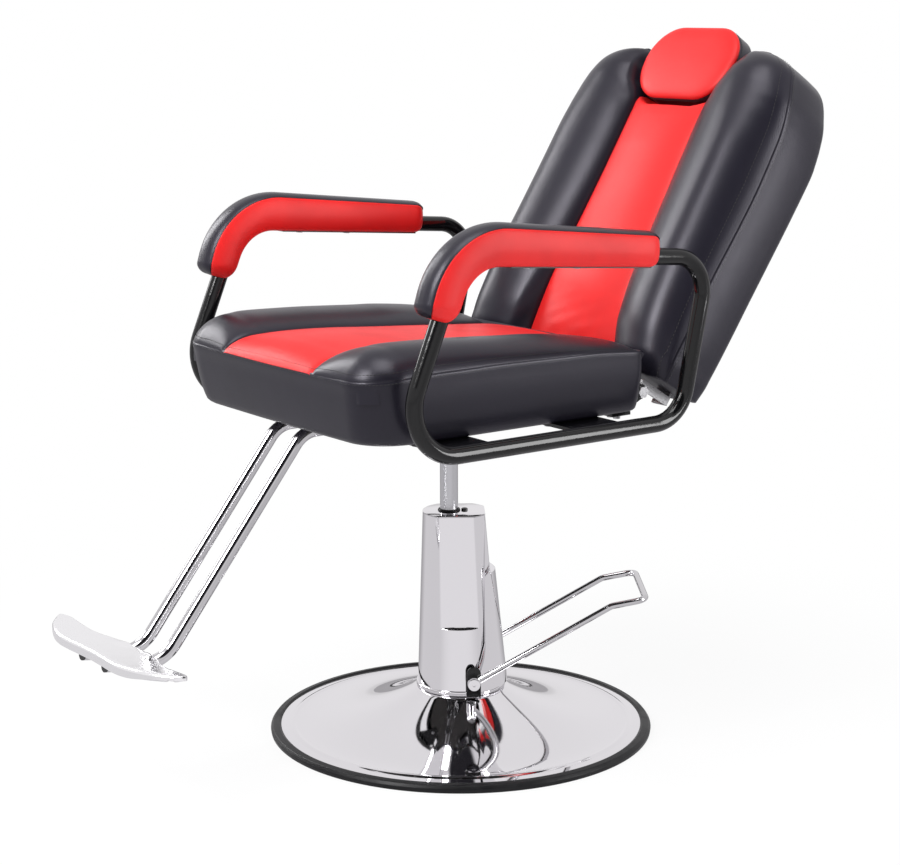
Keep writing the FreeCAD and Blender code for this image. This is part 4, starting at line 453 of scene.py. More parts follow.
def fan(marks):
    """Angles that run through marks, at every height, with extra ones close to each inner mark."""
    columns = [marks[0]]
    for i in range(len(marks) - 1):
        low, high = (0.06 if i > 0 else 0.0), (0.06 if i < len(marks) - 2 else 0.0)
        if i > 0:
            columns += [marks[i] + s for s in (-0.05, -0.02, 0.0, 0.02, 0.05)]
        for share in np.linspace(0, 1, 14, endpoint=False)[1:]:
            between = marks[i] + (marks[i + 1] - marks[i]) * share
            columns.append(np.clip(between, marks[i] + low, marks[i + 1] - high))
    return np.stack(columns + [marks[-1]], -1)


def cover_skin(z, turn, foot, inset):
    z = z[:, None]
    reach = cover_reach(z, turn, foot) - inset
    y = up_cover(z, BASE_SETBACK, TOP_SETBACK) + reach * np.sin(turn)
    return np.stack([reach * np.cos(turn), y, z + 0 * turn], -1)


def shell(name, outer, inner, *fitting, sharp):
    """A closed thin body between two grids of one shape, its ends closed on their middle line."""
    middle = (outer + inner) / 2
    outer = np.concatenate([middle[:1], outer, middle[-1:]])
    inner = np.concatenate([middle[:1], inner, middle[-1:]])
    return skin(name, np.concatenate([outer, inner[:, ::-1]], axis=1), *fitting, sharp=sharp)


def cover_shell(name, marks, foot, node):
    turn = fan(marks)
    outer, inner = (turned(cover_skin(z, turn, foot, inset)) for inset in (0.0, WALL))
    shell(name, outer, inner, "base", chrome, [node], sharp=32)


# Rows lie close together at each ledge
close = np.array([-3, -2, -1.2, -0.7, -0.35, 0, 0.35, 0.7, 1.2, 2, 3]) * 0.001
z = np.linspace(COVER_FOOT, COVER_TOP - 0.0002, 60)
z = np.unique(np.concatenate([z, SIDE_LEDGE + close, REAR_LEDGE + close]))
side_edge, rear_edge = flat_edge(z, SIDE_LEDGE), flat_edge(z, REAR_LEDGE)
seam = seam_turn(z, FOOT_RADIUS)
near_edge = np.minimum(side_edge, seam)
cover_shell("cover_front_shell", [-np.pi - seam, -np.pi - near_edge, -np.pi + side_edge, -side_edge, near_edge, seam],
            FOOT_RADIUS, "cover_front")
seam = seam_turn(z, REAR_FOOT_RADIUS) + 0.006
cover_shell("cover_rear_shell", [seam, np.maximum(np.pi / 2 - rear_edge, seam + 0.02),
                                 np.minimum(np.pi / 2 + rear_edge, np.pi - seam - 0.02), np.pi - seam],
            REAR_FOOT_RADIUS, "cover_rear")

# Cap. A chromed steel disc that follows the cover's outline, held by one dark screw,
# with a rubber wiper round the rod.
ROD, WIPER_HEIGHT, CAP_THICK, CAP_BORE = 0.014, 0.003, 0.0015, 0.0150
around = round_turn(240)
edge = cover_skin(np.array([COVER_TOP - 0.0002]), around[None], FOOT_RADIUS, 0.0)[0]
hole = np.stack([CAP_BORE * np.cos(around), CAP_BORE * np.sin(around), 0 * around], -1)
cap_rows = []
for share, rise in ((0, 0), (0.99, 0), (1.008, 0.0004), (1.008, 0.0012), (0.985, CAP_THICK), (0, CAP_THICK)):
    cap_rows.append(hole + (edge - hole) * share)
    cap_rows[-1][:, 2] = COVER_TOP + rise
skin("cover_cap_disc", turned(np.stack(cap_rows)), "base", chrome, ["cover_cap"], ring=True)
wiper_foot = COVER_TOP + CAP_THICK
wiper_line = softened([(ROD + 0.0001, wiper_foot), (0.0180, wiper_foot), (0.0165, wiper_foot + WIPER_HEIGHT),
                       (ROD + 0.0001, wiper_foot + WIPER_HEIGHT)], [0, 0.0008, 0.001, 0.0004], True)
skin("wiper_ring", turned(spun(wiper_line, count=64)), "base", rubber, ["rod_wiper"], ring=True)

black_paint = Finish("black_enamel", "black_paint", (0.004, 0.004, 0.0045), 0.10, Specular_IOR_Level=0.38)
black_paint.worn(black_paint.noise(25.0, 3.0).step(0.3, 0.8), 0.07, 0.07, black_paint.noise(160.0, 1.0), 0.00006)


def socket_head(radius, height, key, count=48):
    """A round screw head with a bevelled rim and a six-sided recess, standing on z = 0."""
    turn = round_turn(count)
    hexagon = key / np.cos((turn + np.pi / 6) % (np.pi / 3) - np.pi / 6)
    rows = ((0, 0.0), (radius, 0.0), (radius, height * 0.75), (radius * 0.86, height), (hexagon * 1.08, height),
            (hexagon, height * 0.93), (hexagon, height * 0.45), (0, height * 0.42))
    return np.stack([np.stack([r * np.cos(turn), r * np.sin(turn), z + 0 * turn], -1) for r, z in rows])


CAP_SCREW = (0, 0.024, COVER_TOP + CAP_THICK)
skin("cap_screw_head", turned(socket_head(0.005, 0.003, 0.0022) + CAP_SCREW), "base", black_paint, ["cap_screw"])

# Pedal ears. Two short flat steel plates, black enamelled, that stand on the flange on
# either side of the cover and carry the pedal's shaft.
PIVOT_SETBACK = 0.036
EAR_HALF, EAR_FOOT, EAR_TOP, EAR_THICK, EAR_BEVEL = 0.011, 0.070, 0.118, 0.004, 0.0006
PEDAL_HALF, PEDAL_ROD, EAR_GAP = 0.080, 0.005, 0.0005
line = softened([(-EAR_HALF, EAR_FOOT), (EAR_HALF, EAR_FOOT), (EAR_HALF, EAR_TOP), (-EAR_HALF, EAR_TOP)],
                [0.001, 0.001, EAR_HALF * 0.98, EAR_HALF * 0.98], True, 12)
middle = 0 * line + line.mean(axis=0)
inner = line + unit(middle - line) * EAR_BEVEL
rows = ((middle, 0), (inner, 0), (line, EAR_BEVEL), (line, EAR_THICK - EAR_BEVEL), (inner, EAR_THICK),
        (middle, EAR_THICK))
ear = np.stack([np.insert(outline, 0, z, axis=1) for outline, z in rows])
ear += [PEDAL_HALF - PEDAL_ROD - EAR_GAP - EAR_THICK, 0, 0]
for side, word in SIDES:
    placed = turned(ear * [side, side, 1] + [0, PIVOT_SETBACK, 0])
    skin("pedal_ear_" + word, placed, "base", black_paint, ["pedal_ears"])

# Hinge and other bare steel. Zinc-coated pressed steel, a little brushed.
steel = Finish("bare_steel", "steel", (0.42, 0.42, 0.43), 0.32, 1.0)
steel.worn(steel.noise(90.0, 3.0, (1, 1, 8)).step(0.3, 0.7), 0.2, 0.26, steel.noise(700.0, 2.0), 0.00003)

# Arm frames. Each is one loop of round steel tube, black enamelled, with two flat tabs
# bolted under the seat. They are drawn as built, with the enamel's long soft glints.
for side, word in SIDES:
    for slot in nodes["arm_frame_" + word].material_slots:
        slot.material = black_paint.material

# Arm pads. Foam moulded round the tube and bent with it, covered in a black crown strip
# between two red side panels, all leatherette; a seam runs round each side panel.
ARM_X, RAIL_Z = 0.292, 0.513
LEG_FOOT_Y, LEG_LEAN = -0.308, math.radians(22.5)
TOP_Z, TOP_FALL = 0.7732, math.radians(4.3)
PAD_TIP_Z, PAD_REAR_Y = 0.700, 0.152
PAD_UNDER, PAD_OVER_TIP, PAD_OVER_FRONT, PAD_OVER_TOP, PAD_OVER_REAR = 0.0142, 0.038, 0.0385, 0.052, 0.037
PAD_BEND_OVER, PAD_BEND_UNDER = 0.128, 0.062
PAD_HALF, PAD_SEAM = 0.0262, 0.0215      # half widths of the pad and of its black strip


def leatherette(name, colour, roughness, shine, tint):
    """Embossed vinyl: rounded pebbles of about 1.6 mm, finer pores, slow creases and a little shine between."""
    made = Finish(name + "_leatherette", name + "_leather", colour, roughness, Specular_IOR_Level=shine,
                  Specular_Tint=(*tint, 1.0))
    inputs = {"Vector": made.place(), "Scale": 620.0, "Smoothness": 0.7}
    pebble = made.node("ShaderNodeTexVoronoi", {"feature": "SMOOTH_F1"}, inputs)
    pore, slow = made.noise(1700.0, 2.0), made.noise(11.0, 3.0)
    first = made.bump(made.noise(26.0, 2.0), 0.00018)
    made.put("Normal", made.bump(pebble * 0.7 + pore * 0.3, 0.00011, first))
    made.put("Roughness", pebble * 0.08 + slow * 0.08 + (roughness - 0.08))
    made.shade(slow.step(0.35, 0.7), 0.86)
    return made


black_leather = leatherette("black", (0.0110, 0.0100, 0.0165), 0.33, 0.37, (0.93, 0.90, 1.0))
red_leather = leatherette("red", (0.80, 0.018, 0.018), 0.42, 0.26, (1.0, 1.0, 1.0))
thread = Finish("black_thread", "black_leather", (0.018, 0.018, 0.02), 0.55)
twist = {"Vector": thread.place((1, 1, 1), (0.5, 0.6, 0)), "Scale": 900.0}
thread.worn(thread.noise(2500.0, 1.0), 0.2, 0.45, thread.node("ShaderNodeTexWave", None, twist), 0.0001)


def curve(points, steps):
    """A smooth line through points: on each stretch the cubic whose slopes at its ends follow the points beside."""
    points = np.asarray(points, float)
    full = np.vstack([2 * points[0] - points[1], points, 2 * points[-1] - points[-2]])
    a, b, c, d = (full[i:len(full) - 3 + i, None] for i in range(4))
    t = np.linspace(0, 1, steps, endpoint=False)[:, None]
    line = b + 0.5 * t * (c - a + t * (2 * a - 5 * b + 4 * c - d + t * (3 * b - a - 3 * c + d)))
    return np.vstack([line.reshape(-1, points.shape[1]), points[-1:]])


def stitches(name, line, out, body, pitch=0.0052, length=0.0036, width=0.0005):
    """Thread along a seam: small capsules, each a spindle of five rings of six, half sunk in the cover."""
    run = run_along(line)
    count = max(2, int(run[-1] / pitch))
    at = evenly(line, count)
    ahead = unit(np.gradient(at, axis=0))
    share = np.linspace(0, run[-1], count)
    out = unit(np.stack([np.interp(share, run, np.broadcast_to(out, line.shape)[:, k]) for k in range(3)], -1))
    across = unit(np.cross(ahead, out))
    turn = round_turn(6)
    reach = np.array([-1, -0.75, 0, 0.75, 1])[:, None, None] * length / 2
    girth = np.array([0.15, 0.85, 1, 0.85, 0.15])[:, None] * width
    ahead, across, out = (v[:, None, None] for v in (ahead, across, out))
    P = at[:, None, None] + reach * ahead + (girth * np.cos(turn))[..., None] * across
    P = P + (girth * np.sin(turn) + width * 0.35)[..., None] * out
    index = np.arange(30).reshape(5, 6)
    caps = np.array([[0, 1, 2, 3], [0, 3, 4, 5], [27, 26, 25, 24], [29, 28, 27, 24]])
    faces = np.concatenate([grid_faces(np.hstack([index, index[:, :1]])), caps])
    faces = (faces[None] + 30 * np.arange(count)[:, None, None]).reshape(-1, 4)
    piece_of(name, P, faces, body, thread, sharp=80)


leg_out = np.array([-math.cos(LEG_LEAN), math.sin(LEG_LEAN)])
top_out = np.array([math.sin(TOP_FALL), math.cos(TOP_FALL)])
slope = math.tan(LEG_LEAN)
corner_z = (TOP_Z - math.tan(TOP_FALL) * (LEG_FOOT_Y - RAIL_Z * slope)) / (1 + math.tan(TOP_FALL) * slope)
bend = np.array([LEG_FOOT_Y + (corner_z - RAIL_Z) * slope, corner_z])
tip = np.array([LEG_FOOT_Y + (PAD_TIP_Z - RAIL_Z) * slope, PAD_TIP_Z])
rear = np.array([PAD_REAR_Y, TOP_Z - PAD_REAR_Y * math.tan(TOP_FALL)])


def pad_side(over):
    """The pad's crown line or its underside in side view, in three runs with as many points each."""
    if over:
        points = (tip + leg_out * PAD_OVER_TIP, bend + top_out * PAD_OVER_TOP - [PAD_OVER_FRONT, 0],
                  rear + top_out * PAD_OVER_REAR)
    else:
        inside = (leg_out + top_out) / (1 + leg_out @ top_out)
        points = (tip - leg_out * PAD_UNDER, bend - inside * PAD_UNDER, rear - top_out * PAD_UNDER)
    arc = round_corner(*points, PAD_BEND_OVER if over else PAD_BEND_UNDER, 25)
    share = np.linspace(0, 1, 12, endpoint=False)[:, None]
    return np.concatenate([points[0] + (arc[0] - points[0]) * share, arc[:-1],
                           arc[-1] + (points[2] - arc[-1]) * np.linspace(0, 1, 34)[:, None]])


pad_lines = np.concatenate([pad_side(True), pad_side(False)], axis=1)


def pad_grid(section, reach):
    """Carries a section, as (across, share of the height, standing off), along the pad; its ends round off."""
    at = evenly(pad_lines, 90)
    at = np.concatenate([at[:1], at[0] + (at[1] - at[0]) * np.array([[0.1], [0.3], [0.6]]), at[1:-1],
                         at[-2] + (at[-1] - at[-2]) * np.array([[0.4], [0.7], [0.9]]), at[-1:]])
    over, under = at[:, None, :2], at[:, None, 2:]
    run = run_along((over + under)[:, 0] / 2)
    near = np.clip(np.minimum(run, run[-1] - run) / reach, 0, 1)
    draw = reach * (1 - np.sqrt(1 - (1 - near) ** 2))[:, None]
    x, share = section[:, 0], section[:, 1]
    height = np.linalg.norm(over - under, axis=-1)
    lift = share * height + section[:, 2]
    centre = height * 0.5
    size = np.hypot(x, lift - centre)
    keep = np.maximum(size - draw, 0.0005) / np.maximum(size, 1e-6)
    x, lift = x * keep, centre + (lift - centre) * keep
    flat = under + (over - under) * (lift / height)[..., None]
    return np.stack([ARM_X + x, flat[..., 0], flat[..., 1]], -1)


def capped(P):
    """The same grid with both ends closed on their middle."""
    first, last = (0 * row + row.mean(axis=1, keepdims=True) for row in (P[:1], P[-1:]))
    return np.concatenate([first, P, last])


half_section = curve([(0, 0, 0), (0.012, 0, 0), (0.0185, 0.012, 0), (0.0232, 0.07, 0), (PAD_HALF, 0.22, 0),
                      (PAD_HALF + 0.0012, 0.42, 0), (PAD_HALF + 0.0002, 0.64, 0), (0.0240, 0.81, 0),
                      (PAD_SEAM + 0.0004, 0.875, 0), (PAD_SEAM - 0.0022, 0.875, 0), (0.012, 0.90, -0.002),
                      (0, 0.90, -0.002)], 5)
body_section = np.concatenate([half_section, half_section[-2:0:-1] * [-1, 1, 1]])
band_half = curve([(0, 1.0, 0), (0.006, 0.996, 0), (0.0125, 0.975, 0), (0.0180, 0.932, 0),
                   (PAD_SEAM - 0.0004, 0.890, 0)], 5)
band_section = np.concatenate([band_half[::-1] * [-1, 1, 1], band_half[1:],
                               [(0.019, 0.86, 0), (0, 0.88, 0), (-0.019, 0.86, 0)]])
for side, word in SIDES:
    for name, section, reach, finish, node in (("body", body_section, 0.0210, red_leather, ["arm_pad_" + word]),
                                               ("crown", band_section, 0.0165, black_leather, [])):
        pad = capped(pad_grid(section, reach)) * [side, 1, 1]
        skin("arm_pad_" + name + "_" + word, pad, "seat", finish, node, sharp=60)

# Seat cushion. Thick foam on a plywood board. A black boxing panel runs round it; two
# black bolsters stand on each side of a red insert, and a twin-needle seam closes the
# edge between the boxing and the top.
SEAT_FOOT, SEAT_FRONT, SEAT_REAR = 0.524, -0.328, 0.172
SEAT_HALF, SEAT_CORNER, SEAT_REAR_CORNER, SEAT_BOW = 0.2575, 0.062, 0.014, 0.004
INSERT_HALF, CREST_X, INSERT_CROWN = 0.120, 0.200, 0.0065
SEAT_SHOULDER, SEWN_DEPTH = 0.058, 0.0032
SEAT_LENGTH = SEAT_REAR - SEAT_FRONT
# Share of the seat's length from the front, height in mm over the underside
SEAM_LINE = ((-0.012, 92), (0, 93), (0.214, 99), (0.352, 100), (0.46, 101), (0.674, 100), (0.824, 99), (0.97, 94),
             (1.04, 91))
CREST_LINE = ((0, 132.5), (0.12, 133.5), (0.176, 136), (0.286, 135), (0.4, 133), (0.576, 128), (0.66, 126), (0.78, 120),
              (0.88, 112), (0.96, 103), (1.04, 91))
INSERT_LINE = ((0, 112), (0.116, 113), (0.18, 114), (0.276, 113.5), (0.38, 111), (0.5, 106.5), (0.722, 99), (1.0, 89),
               (1.04, 87))
# Height in mm over the underside, then how far the sides, the front and the rear draw in
WALL_LINE = np.array([(0, 13.5, 20, 4), (5, 10, 16, 1.5), (26, 4.5, 10.5, 0), (61, 0, 4.5, -1), (96, 0, 0, 0)]) / 1000


def table(rows, x):
    """Smooth values from a table of (place, value) rows."""
    line = curve(np.array(rows, float), 12)
    return np.interp(x, line[:, 0], line[:, 1])


def seat_height(rows, y):
    return SEAT_FOOT + table(rows, (y - SEAT_FRONT) / SEAT_LENGTH) / 1000


def seat_bow(x):
    return SEAT_BOW * np.clip(1 - (x / (SEAT_HALF - SEAT_CORNER)) ** 2, 0, 1)


def corner_distance(aside, beyond, radius):
    """Distance out from a rounded corner, from the distances past the middle of its arc in two directions."""
    out = np.hypot(np.maximum(aside, 0), np.maximum(beyond, 0))
    return out + np.minimum(np.maximum(aside, beyond), 0) - radius


def eased(t):
    return t ** 2 * (3 - 2 * t)


def shoulder(distance, reach, power=0.72):
    """Rises from 0 at an edge to 1 at reach, steep at the edge and level at the top."""
    t = np.clip(distance / reach, 0, 1)
    return (1 - (1 - t) ** 2) ** power


def seat_top(x, y):
    """Height of the seat's top, which falls to the insert's seam and rolls down to the outer seam."""
    crest, low = seat_height(CREST_LINE, y), seat_height(INSERT_LINE, y)
    seam = seat_height(SEAM_LINE, y) - 0.001
    away = np.clip((np.abs(x) - INSERT_HALF) / (CREST_X - INSERT_HALF), 0, 1)
    across = low + (crest - low) * (1 - (1 - away) ** 2) ** 0.85
    insert = low + INSERT_CROWN * np.clip(1 - (x / INSERT_HALF) ** 2, 0, 1)
    full = np.where(np.abs(x) < INSERT_HALF, insert, across)
    rear = shoulder(SEAT_REAR + 0.001 - y, 0.030, 0.6)
    front = SEAT_FRONT + SEAT_BOW + SEAT_CORNER - seat_bow(x)
    inward = -corner_distance(np.abs(x) - (SEAT_HALF - SEAT_CORNER), front - y, SEAT_CORNER)
    return seam + (full - seam) * shoulder(inward, SEAT_SHOULDER) * rear - 0.004 * (1 - rear)


def seat_front(x):
    """Where the plan's front edge lies at each place across."""
    out = np.clip(np.abs(x) - (SEAT_HALF - SEAT_CORNER), 0, SEAT_CORNER)
    return SEAT_FRONT + SEAT_BOW + SEAT_CORNER - seat_bow(x) - np.sqrt(SEAT_CORNER ** 2 - out ** 2)


def seat_slab(name, x, inward, soft, finish, node):
    """The top of the seat over a range across, closed 30 mm lower; it dips where it is sewn to its neighbour."""
    front = seat_front(x)[None]
    t = np.linspace(0, 1, 96)[:, None]
    y = front + (SEAT_REAR - 0.0008 - front) * (0.5 * (t ** 2.2 / (t ** 2.2 + (1 - t) ** 1.6)) + 0.5 * t)
    X = np.broadcast_to(x, y.shape)
    upper = np.stack([X, y, seat_top(X, y) - SEWN_DEPTH * np.exp(-inward / soft)], -1)
    lower = upper - [0, 0, 0.030]
    lower[..., 1] = np.clip(lower[..., 1], SEAT_FRONT + 0.012, SEAT_REAR - 0.012)
    lower[..., 0] = np.clip(lower[..., 0], -SEAT_HALF + 0.012, SEAT_HALF - 0.012)
    shell(name, upper, lower, "seat", finish, node, sharp=50)


side_x = INSERT_HALF + (SEAT_HALF - 0.0006 - INSERT_HALF) * np.sin(np.linspace(0, np.pi / 2, 56)) ** 1.15
for side, word in SIDES:
    seat_slab("seat_bolster_" + word, (side_x + 0.0002) * side, side_x - INSERT_HALF, 0.0028, black_leather,
              ["seat_cushion"] if side > 0 else [])
middle_x = np.linspace(-1, 1, 65)
middle_x = INSERT_HALF * (0.75 * middle_x + 0.25 * np.sin(middle_x * np.pi / 2)) * 0.9985
seat_slab("seat_insert_panel", middle_x, INSERT_HALF - np.abs(middle_x), 0.0035, red_leather, ["seat_insert"])


def seat_outline(side_draw, front_draw, rear_draw, count=360):
    """The plan, drawn in by these amounts, as evenly spaced points from the middle of the rear round by the left."""
    half, front, rear = SEAT_HALF - side_draw, SEAT_FRONT + front_draw, SEAT_REAR - rear_draw
    half_line = [(0, rear), (half, rear), (half, front + SEAT_BOW), (0, front)]
    corners = half_line + [(-x, y) for x, y in half_line[2::-1]]
    line = softened(corners, [0, SEAT_REAR_CORNER, SEAT_CORNER, 6.0, SEAT_CORNER, SEAT_REAR_CORNER, 0], count=24)
    return evenly(line, count, True)


rows = []
for rise, more in ((0, 0.030), (0, 0.006), (0.0008, 0.003), (0.003, 0.0012), (0.006, 0.0004), (0.012, 0), (0.02, 0),
                   (0.035, 0), (0.05, 0), (0.065, 0), (0.08, 0)):
    draws = [np.interp(rise, WALL_LINE[:, 0], WALL_LINE[:, k]) + more for k in (1, 2, 3)]
    rows.append(np.column_stack([seat_outline(*draws), np.full(360, SEAT_FOOT + rise)]))
full = seat_outline(0, 0, 0)
edge = seat_height(SEAM_LINE, full[:, 1])
normal = unit(np.column_stack([np.gradient(full[:, 1]), -np.gradient(full[:, 0])]))
normal *= np.sign((normal * (full - [0, -0.08])).sum(axis=1, keepdims=True))
for below, tuck in ((0.0075, -0.0003), (0.0035, -0.0004), (0.0012, 0.0001), (0.0, 0.0016)):
    rows.append(np.column_stack([full - normal * tuck, edge - below]))
rows.append(np.column_stack([full - normal * 0.008, edge - 0.003]))
boxing = np.stack(rows)
inner = boxing.copy()
inner[..., :2] -= (normal * 0.006)[None]
inner[0, :, 2] += 0.004
boxing = np.concatenate([boxing, inner[::-1]])
skin("seat_boxing", boxing, "seat", black_leather, ring=True, sharp=50)
keep = full[:, 1] < SEAT_REAR - 0.012
start = int(np.argmax(np.diff(np.concatenate([[0], keep.astype(int)])) == 1))
order = np.arange(start, start + keep.sum()) % 360
seam_line = np.column_stack([full, edge])[order]
outward = np.column_stack([normal, np.zeros(360)])[order]
stitches("seat_seam_thread", seam_line - [0, 0, 0.0042] + outward * 0.0002, outward, "seat")
inward = seam_line - outward * 0.0052
inward[:, 2] = seat_top(inward[:, 0], inward[:, 1])
stitches("seat_edge_thread", inward, outward * 0.7 + [0, 0, 0.7], "seat")

# Plunger spring. A coil of steel wire round the pump's plunger, which the pedal presses
# together.
SPRING_WIRE, SPRING_TURNS, STROKE = 0.0007, 7, 0.0095


def pipe(path, radius, across, count=44):
    """A round bar along a line that lies square to a direction, its ends closed on their middle."""
    across = np.asarray(across, float)
    out = np.cross(unit(np.gradient(path, axis=0)), across)[:, None]
    turn = round_turn(count)[:, None]
    return capped(path[:, None] + radius * (np.cos(turn) * across + np.sin(turn) * out))


spring_low, spring_high = (np.array(corner, float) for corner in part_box("plunger_spring"))
centre, spring_size = (spring_low + spring_high) / 2, spring_high - spring_low
turn = np.linspace(0, 2 * np.pi * SPRING_TURNS, 24 * SPRING_TURNS)
wind = spring_size[0] / 2 - SPRING_WIRE
line = np.stack([centre[0] + wind * np.cos(turn), centre[1] + wind * np.sin(turn),
                 spring_low[2] + SPRING_WIRE + (spring_size[2] - 2 * SPRING_WIRE) * turn / turn[-1]], -1)
coil = skin("plunger_coil", pipe(line, SPRING_WIRE, (0, 0, 1), 8), "base", steel, ["plunger_spring"])
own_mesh(coil)

# Footrest. Two chromed tubes bent at the knee and clamped under the seat, plugged with
# black plastic, and a cast aluminium footplate, polished, that is hollow underneath and
# lifts towards its two ends. Its rear skirt is open where the tubes come in.
FOOT_TUBE, FOOT_X = 0.0095, 0.034
KNEE, FOOT_TILT = (-0.525, 0.211), math.radians(9.5)
PLATE_HALF, PLATE_TOP, PLATE_WALL, PLATE_LIFT = 0.184, 0.004, 0.0028, 0.009
PLATE_SKIRT, PLATE_END_SKIRT, WAY_SKIRT, PLATE_NOSE = 0.015, 0.007, 0.0034, 0.012
TUBE_HEIGHT, TUBE_TIP = 0.5145, -0.613
# Distance across, place of the front and of the rear edge, in mm
PLATE_EDGES = np.array([(0, -617, -541), (34, -619, -542), (62, -622, -547), (88, -623, -557), (118, -617, -562),
                        (150, -604, -562), (172, -589, -563), (184, -580, -568)]) / 1000
aluminium = Finish("polished_aluminium", "polished_aluminium", (0.92, 0.92, 0.93), 0.16, 1.0)
waves = aluminium.bump(aluminium.noise(26.0, 1.0), 0.0004)
aluminium.put("Roughness", aluminium.noise(35.0, 3.0).step(0.3, 0.8) * 0.10 + 0.12)
aluminium.put("Normal", aluminium.bump(aluminium.noise(500.0, 2.0), 0.00003, waves))
# The foot tubes and the pedal take a copy of the chrome with a darker colour. The darker colour is painted shade,
# standing in for the dark surroundings that the bent tubes reflect.
darkened_tube_chrome = Finish("tube_chrome", "chrome", (0.60, 0.595, 0.61), 0.06, 1.0)
darkened_tube_chrome.worn(darkened_tube_chrome.noise(60.0, 3.0, (1, 1, 0.2)).step(0.4, 0.8), 0.05, 0.04,
                 darkened_tube_chrome.noise(14.0, 1.0), 0.00008)

low = (TUBE_TIP, KNEE[1] + (KNEE[0] - TUBE_TIP) * math.tan(FOOT_TILT))
for side, word in SIDES:
    corners = [(side * FOOT_X, *p) for p in ((-0.100, TUBE_HEIGHT), (-0.286, TUBE_HEIGHT), KNEE, low)]
    path = softened(corners, [0, 0.045, 0.058, 0], count=18)
    tube = pipe(path, FOOT_TUBE, (1, 0, 0))
    skin("foot_tube_" + word, tube, "seat", darkened_tube_chrome, ["footrest_tube_" + word], sharp=60)

t = np.linspace(-1, 1, 181)[:, None]
across = PLATE_HALF * np.sin(t * np.pi / 2) * 0.35 + PLATE_HALF * t * 0.65
size = np.abs(across)
nose = np.clip(size - (PLATE_HALF - PLATE_NOSE), 0, None) / PLATE_NOSE
nose = np.sqrt(np.clip(1 - nose ** 2, 0, 1)) * 0.985 + 0.015
edges = table(PLATE_EDGES[:, :2], size), table(PLATE_EDGES[:, [0, 2]], size)
middle = (edges[0] + edges[1]) / 2
front_line, rear_line = (middle + (edge - middle) * nose for edge in edges)
skirt = PLATE_SKIRT + (PLATE_END_SKIRT - PLATE_SKIRT) * eased(np.clip((size / PLATE_HALF - 0.55) / 0.45, 0, 1))
way = np.clip((FOOT_TUBE + 0.0035 - np.abs(size - FOOT_X)) / 0.002, 0, 1)
rear_skirt = skirt + (WAY_SKIRT - skirt) * way


def plate_edge(depth, reach, drop):
    """One edge from its skirt's foot to the top: how far in and how far down each point lies."""
    turn = np.linspace(0, np.pi / 2, 7)
    inward = np.hstack([0 * reach, 0 * reach, (1 - np.cos(turn)) * reach])
    return inward, np.hstack([depth, (depth + reach) / 2, (1 - np.sin(turn)) * drop * reach])


def plate_rows(inset):
    """The plate's section from the rear skirt's foot over the top to the front skirt's, at every place across."""
    wide = rear_line - front_line
    small, large = np.minimum(0.0032, wide * 0.2), np.minimum(0.0075, wide * 0.3)
    rear_in, rear_down = plate_edge(rear_skirt, small, 1.0)
    front_in, front_down = plate_edge(skirt, large, 0.8)
    share = np.linspace(0, 1, 12)[1:-1]
    rear_y, front_y = rear_line - inset, front_line + inset
    between = rear_y - small + (front_y + large - rear_y + small) * share
    y = np.hstack([rear_y - rear_in, between, front_y + front_in[:, ::-1]])
    down = np.hstack([rear_down, 0 * between, front_down[:, ::-1]])
    top = FOOT_TUBE / math.cos(FOOT_TILT) + PLATE_TOP + PLATE_LIFT * (size / PLATE_HALF) ** 2
    lift = 0.0022 * np.exp(-((size - FOOT_X) / 0.014) ** 2) * np.clip((y + 0.562) / 0.02, 0, 1)
    z = KNEE[1] + (KNEE[0] - y) * math.tan(FOOT_TILT) + top + lift - down - inset * (down < skirt * 0.98)
    return np.stack([across + 0 * y, y, z], -1)


shell("footplate_casting", plate_rows(0.0), plate_rows(PLATE_WALL), "seat", aluminium, ["footplate"], sharp=40)

# Backrest. Foam on a plywood board, with two tall black bolsters, or wings, that stand
# out on each side of a sunken red panel. A black boxing band runs round the outside to a
# plain rear panel, and a twin-needle seam joins it to the wings. It all turns on a hinge.
HINGE_Y, HINGE_Z, BACK_LEAN = 0.205, 0.545, math.radians(32)
BOARD_REAR_N = -0.062
BACK_FOOT, BACK_TOP = 0.027, 0.588
# In mm: height up the back, half width of the back and of the panel, then how far out of
# the board's plane lie the crest, the panel's seam, the wing's outer seam, the rear face
BACK = np.array([
    (27, 244, 118, 14, -20, -4, -89), (50, 249, 116.5, 31, -15, -1, -89.8), (70, 250, 112.5, 38, -8, 0, -90.5),
    (100, 251.5, 106, 45, 0.5, 0, -91.5), (150, 251.8, 98.5, 50, 10.5, 0, -94), (200, 252, 94.5, 52, 13.5, 0, -96),
    (277, 252, 90.5, 52, 14.3, -5, -100), (350, 252, 87.1, 52.2, 15.9, -8, -103.5),
    (425, 250.5, 85, 53, 17.7, -7, -107), (452, 249.2, 85, 53, 18, -6, -105.4),
    (461, 248.5, 85.2, 53, 17.8, -5, -104.5), (470, 247.7, 85.7, 52.9, 17.5, -4, -103.6),
    (478, 246.6, 86.6, 52.7, 17, -3, -102.6), (486, 245.3, 87.5, 52.5, 15.5, -2, -101.8),
    (498, 243.2, 89.5, 52, 10, 0, -100.3), (510, 240, 93, 51.5, 0, 0.5, -98.5),
    (522, 235.5, 99.5, 50.5, -15, 1, -96.5), (541, 227.3, 106.5, 46.5, -29.8, 1.5, -93.8),
    (556, 218.8, 112, 40, -31.2, 1, -90.2), (568, 206, 114.5, 32.5, -31.8, 0.5, -87.4),
    (577, 190, 116.5, 24, -32, 0, -85), (584, 172, 119, 13, -32, -1, -81.2), (588, 156, 124, 3.5, -32, -3, -79)]) / 1000
WING_SWELL, WING_GROOVE, WING_SHELF = 0.0035, 0.0022, 0.0155
PANEL_CROWN, PANEL_TOP, PANEL_TUCK, PANEL_CREASE, PANEL_REAR_N = 0.011, 0.508, 0.0024, 0.00035, -0.052
REAR_INSET, REAR_CROWN = 0.0146, 0.0052
HEAD_FOOT, HEAD_TOP, HEAD_CORNER = 0.491, 0.622, 0.062
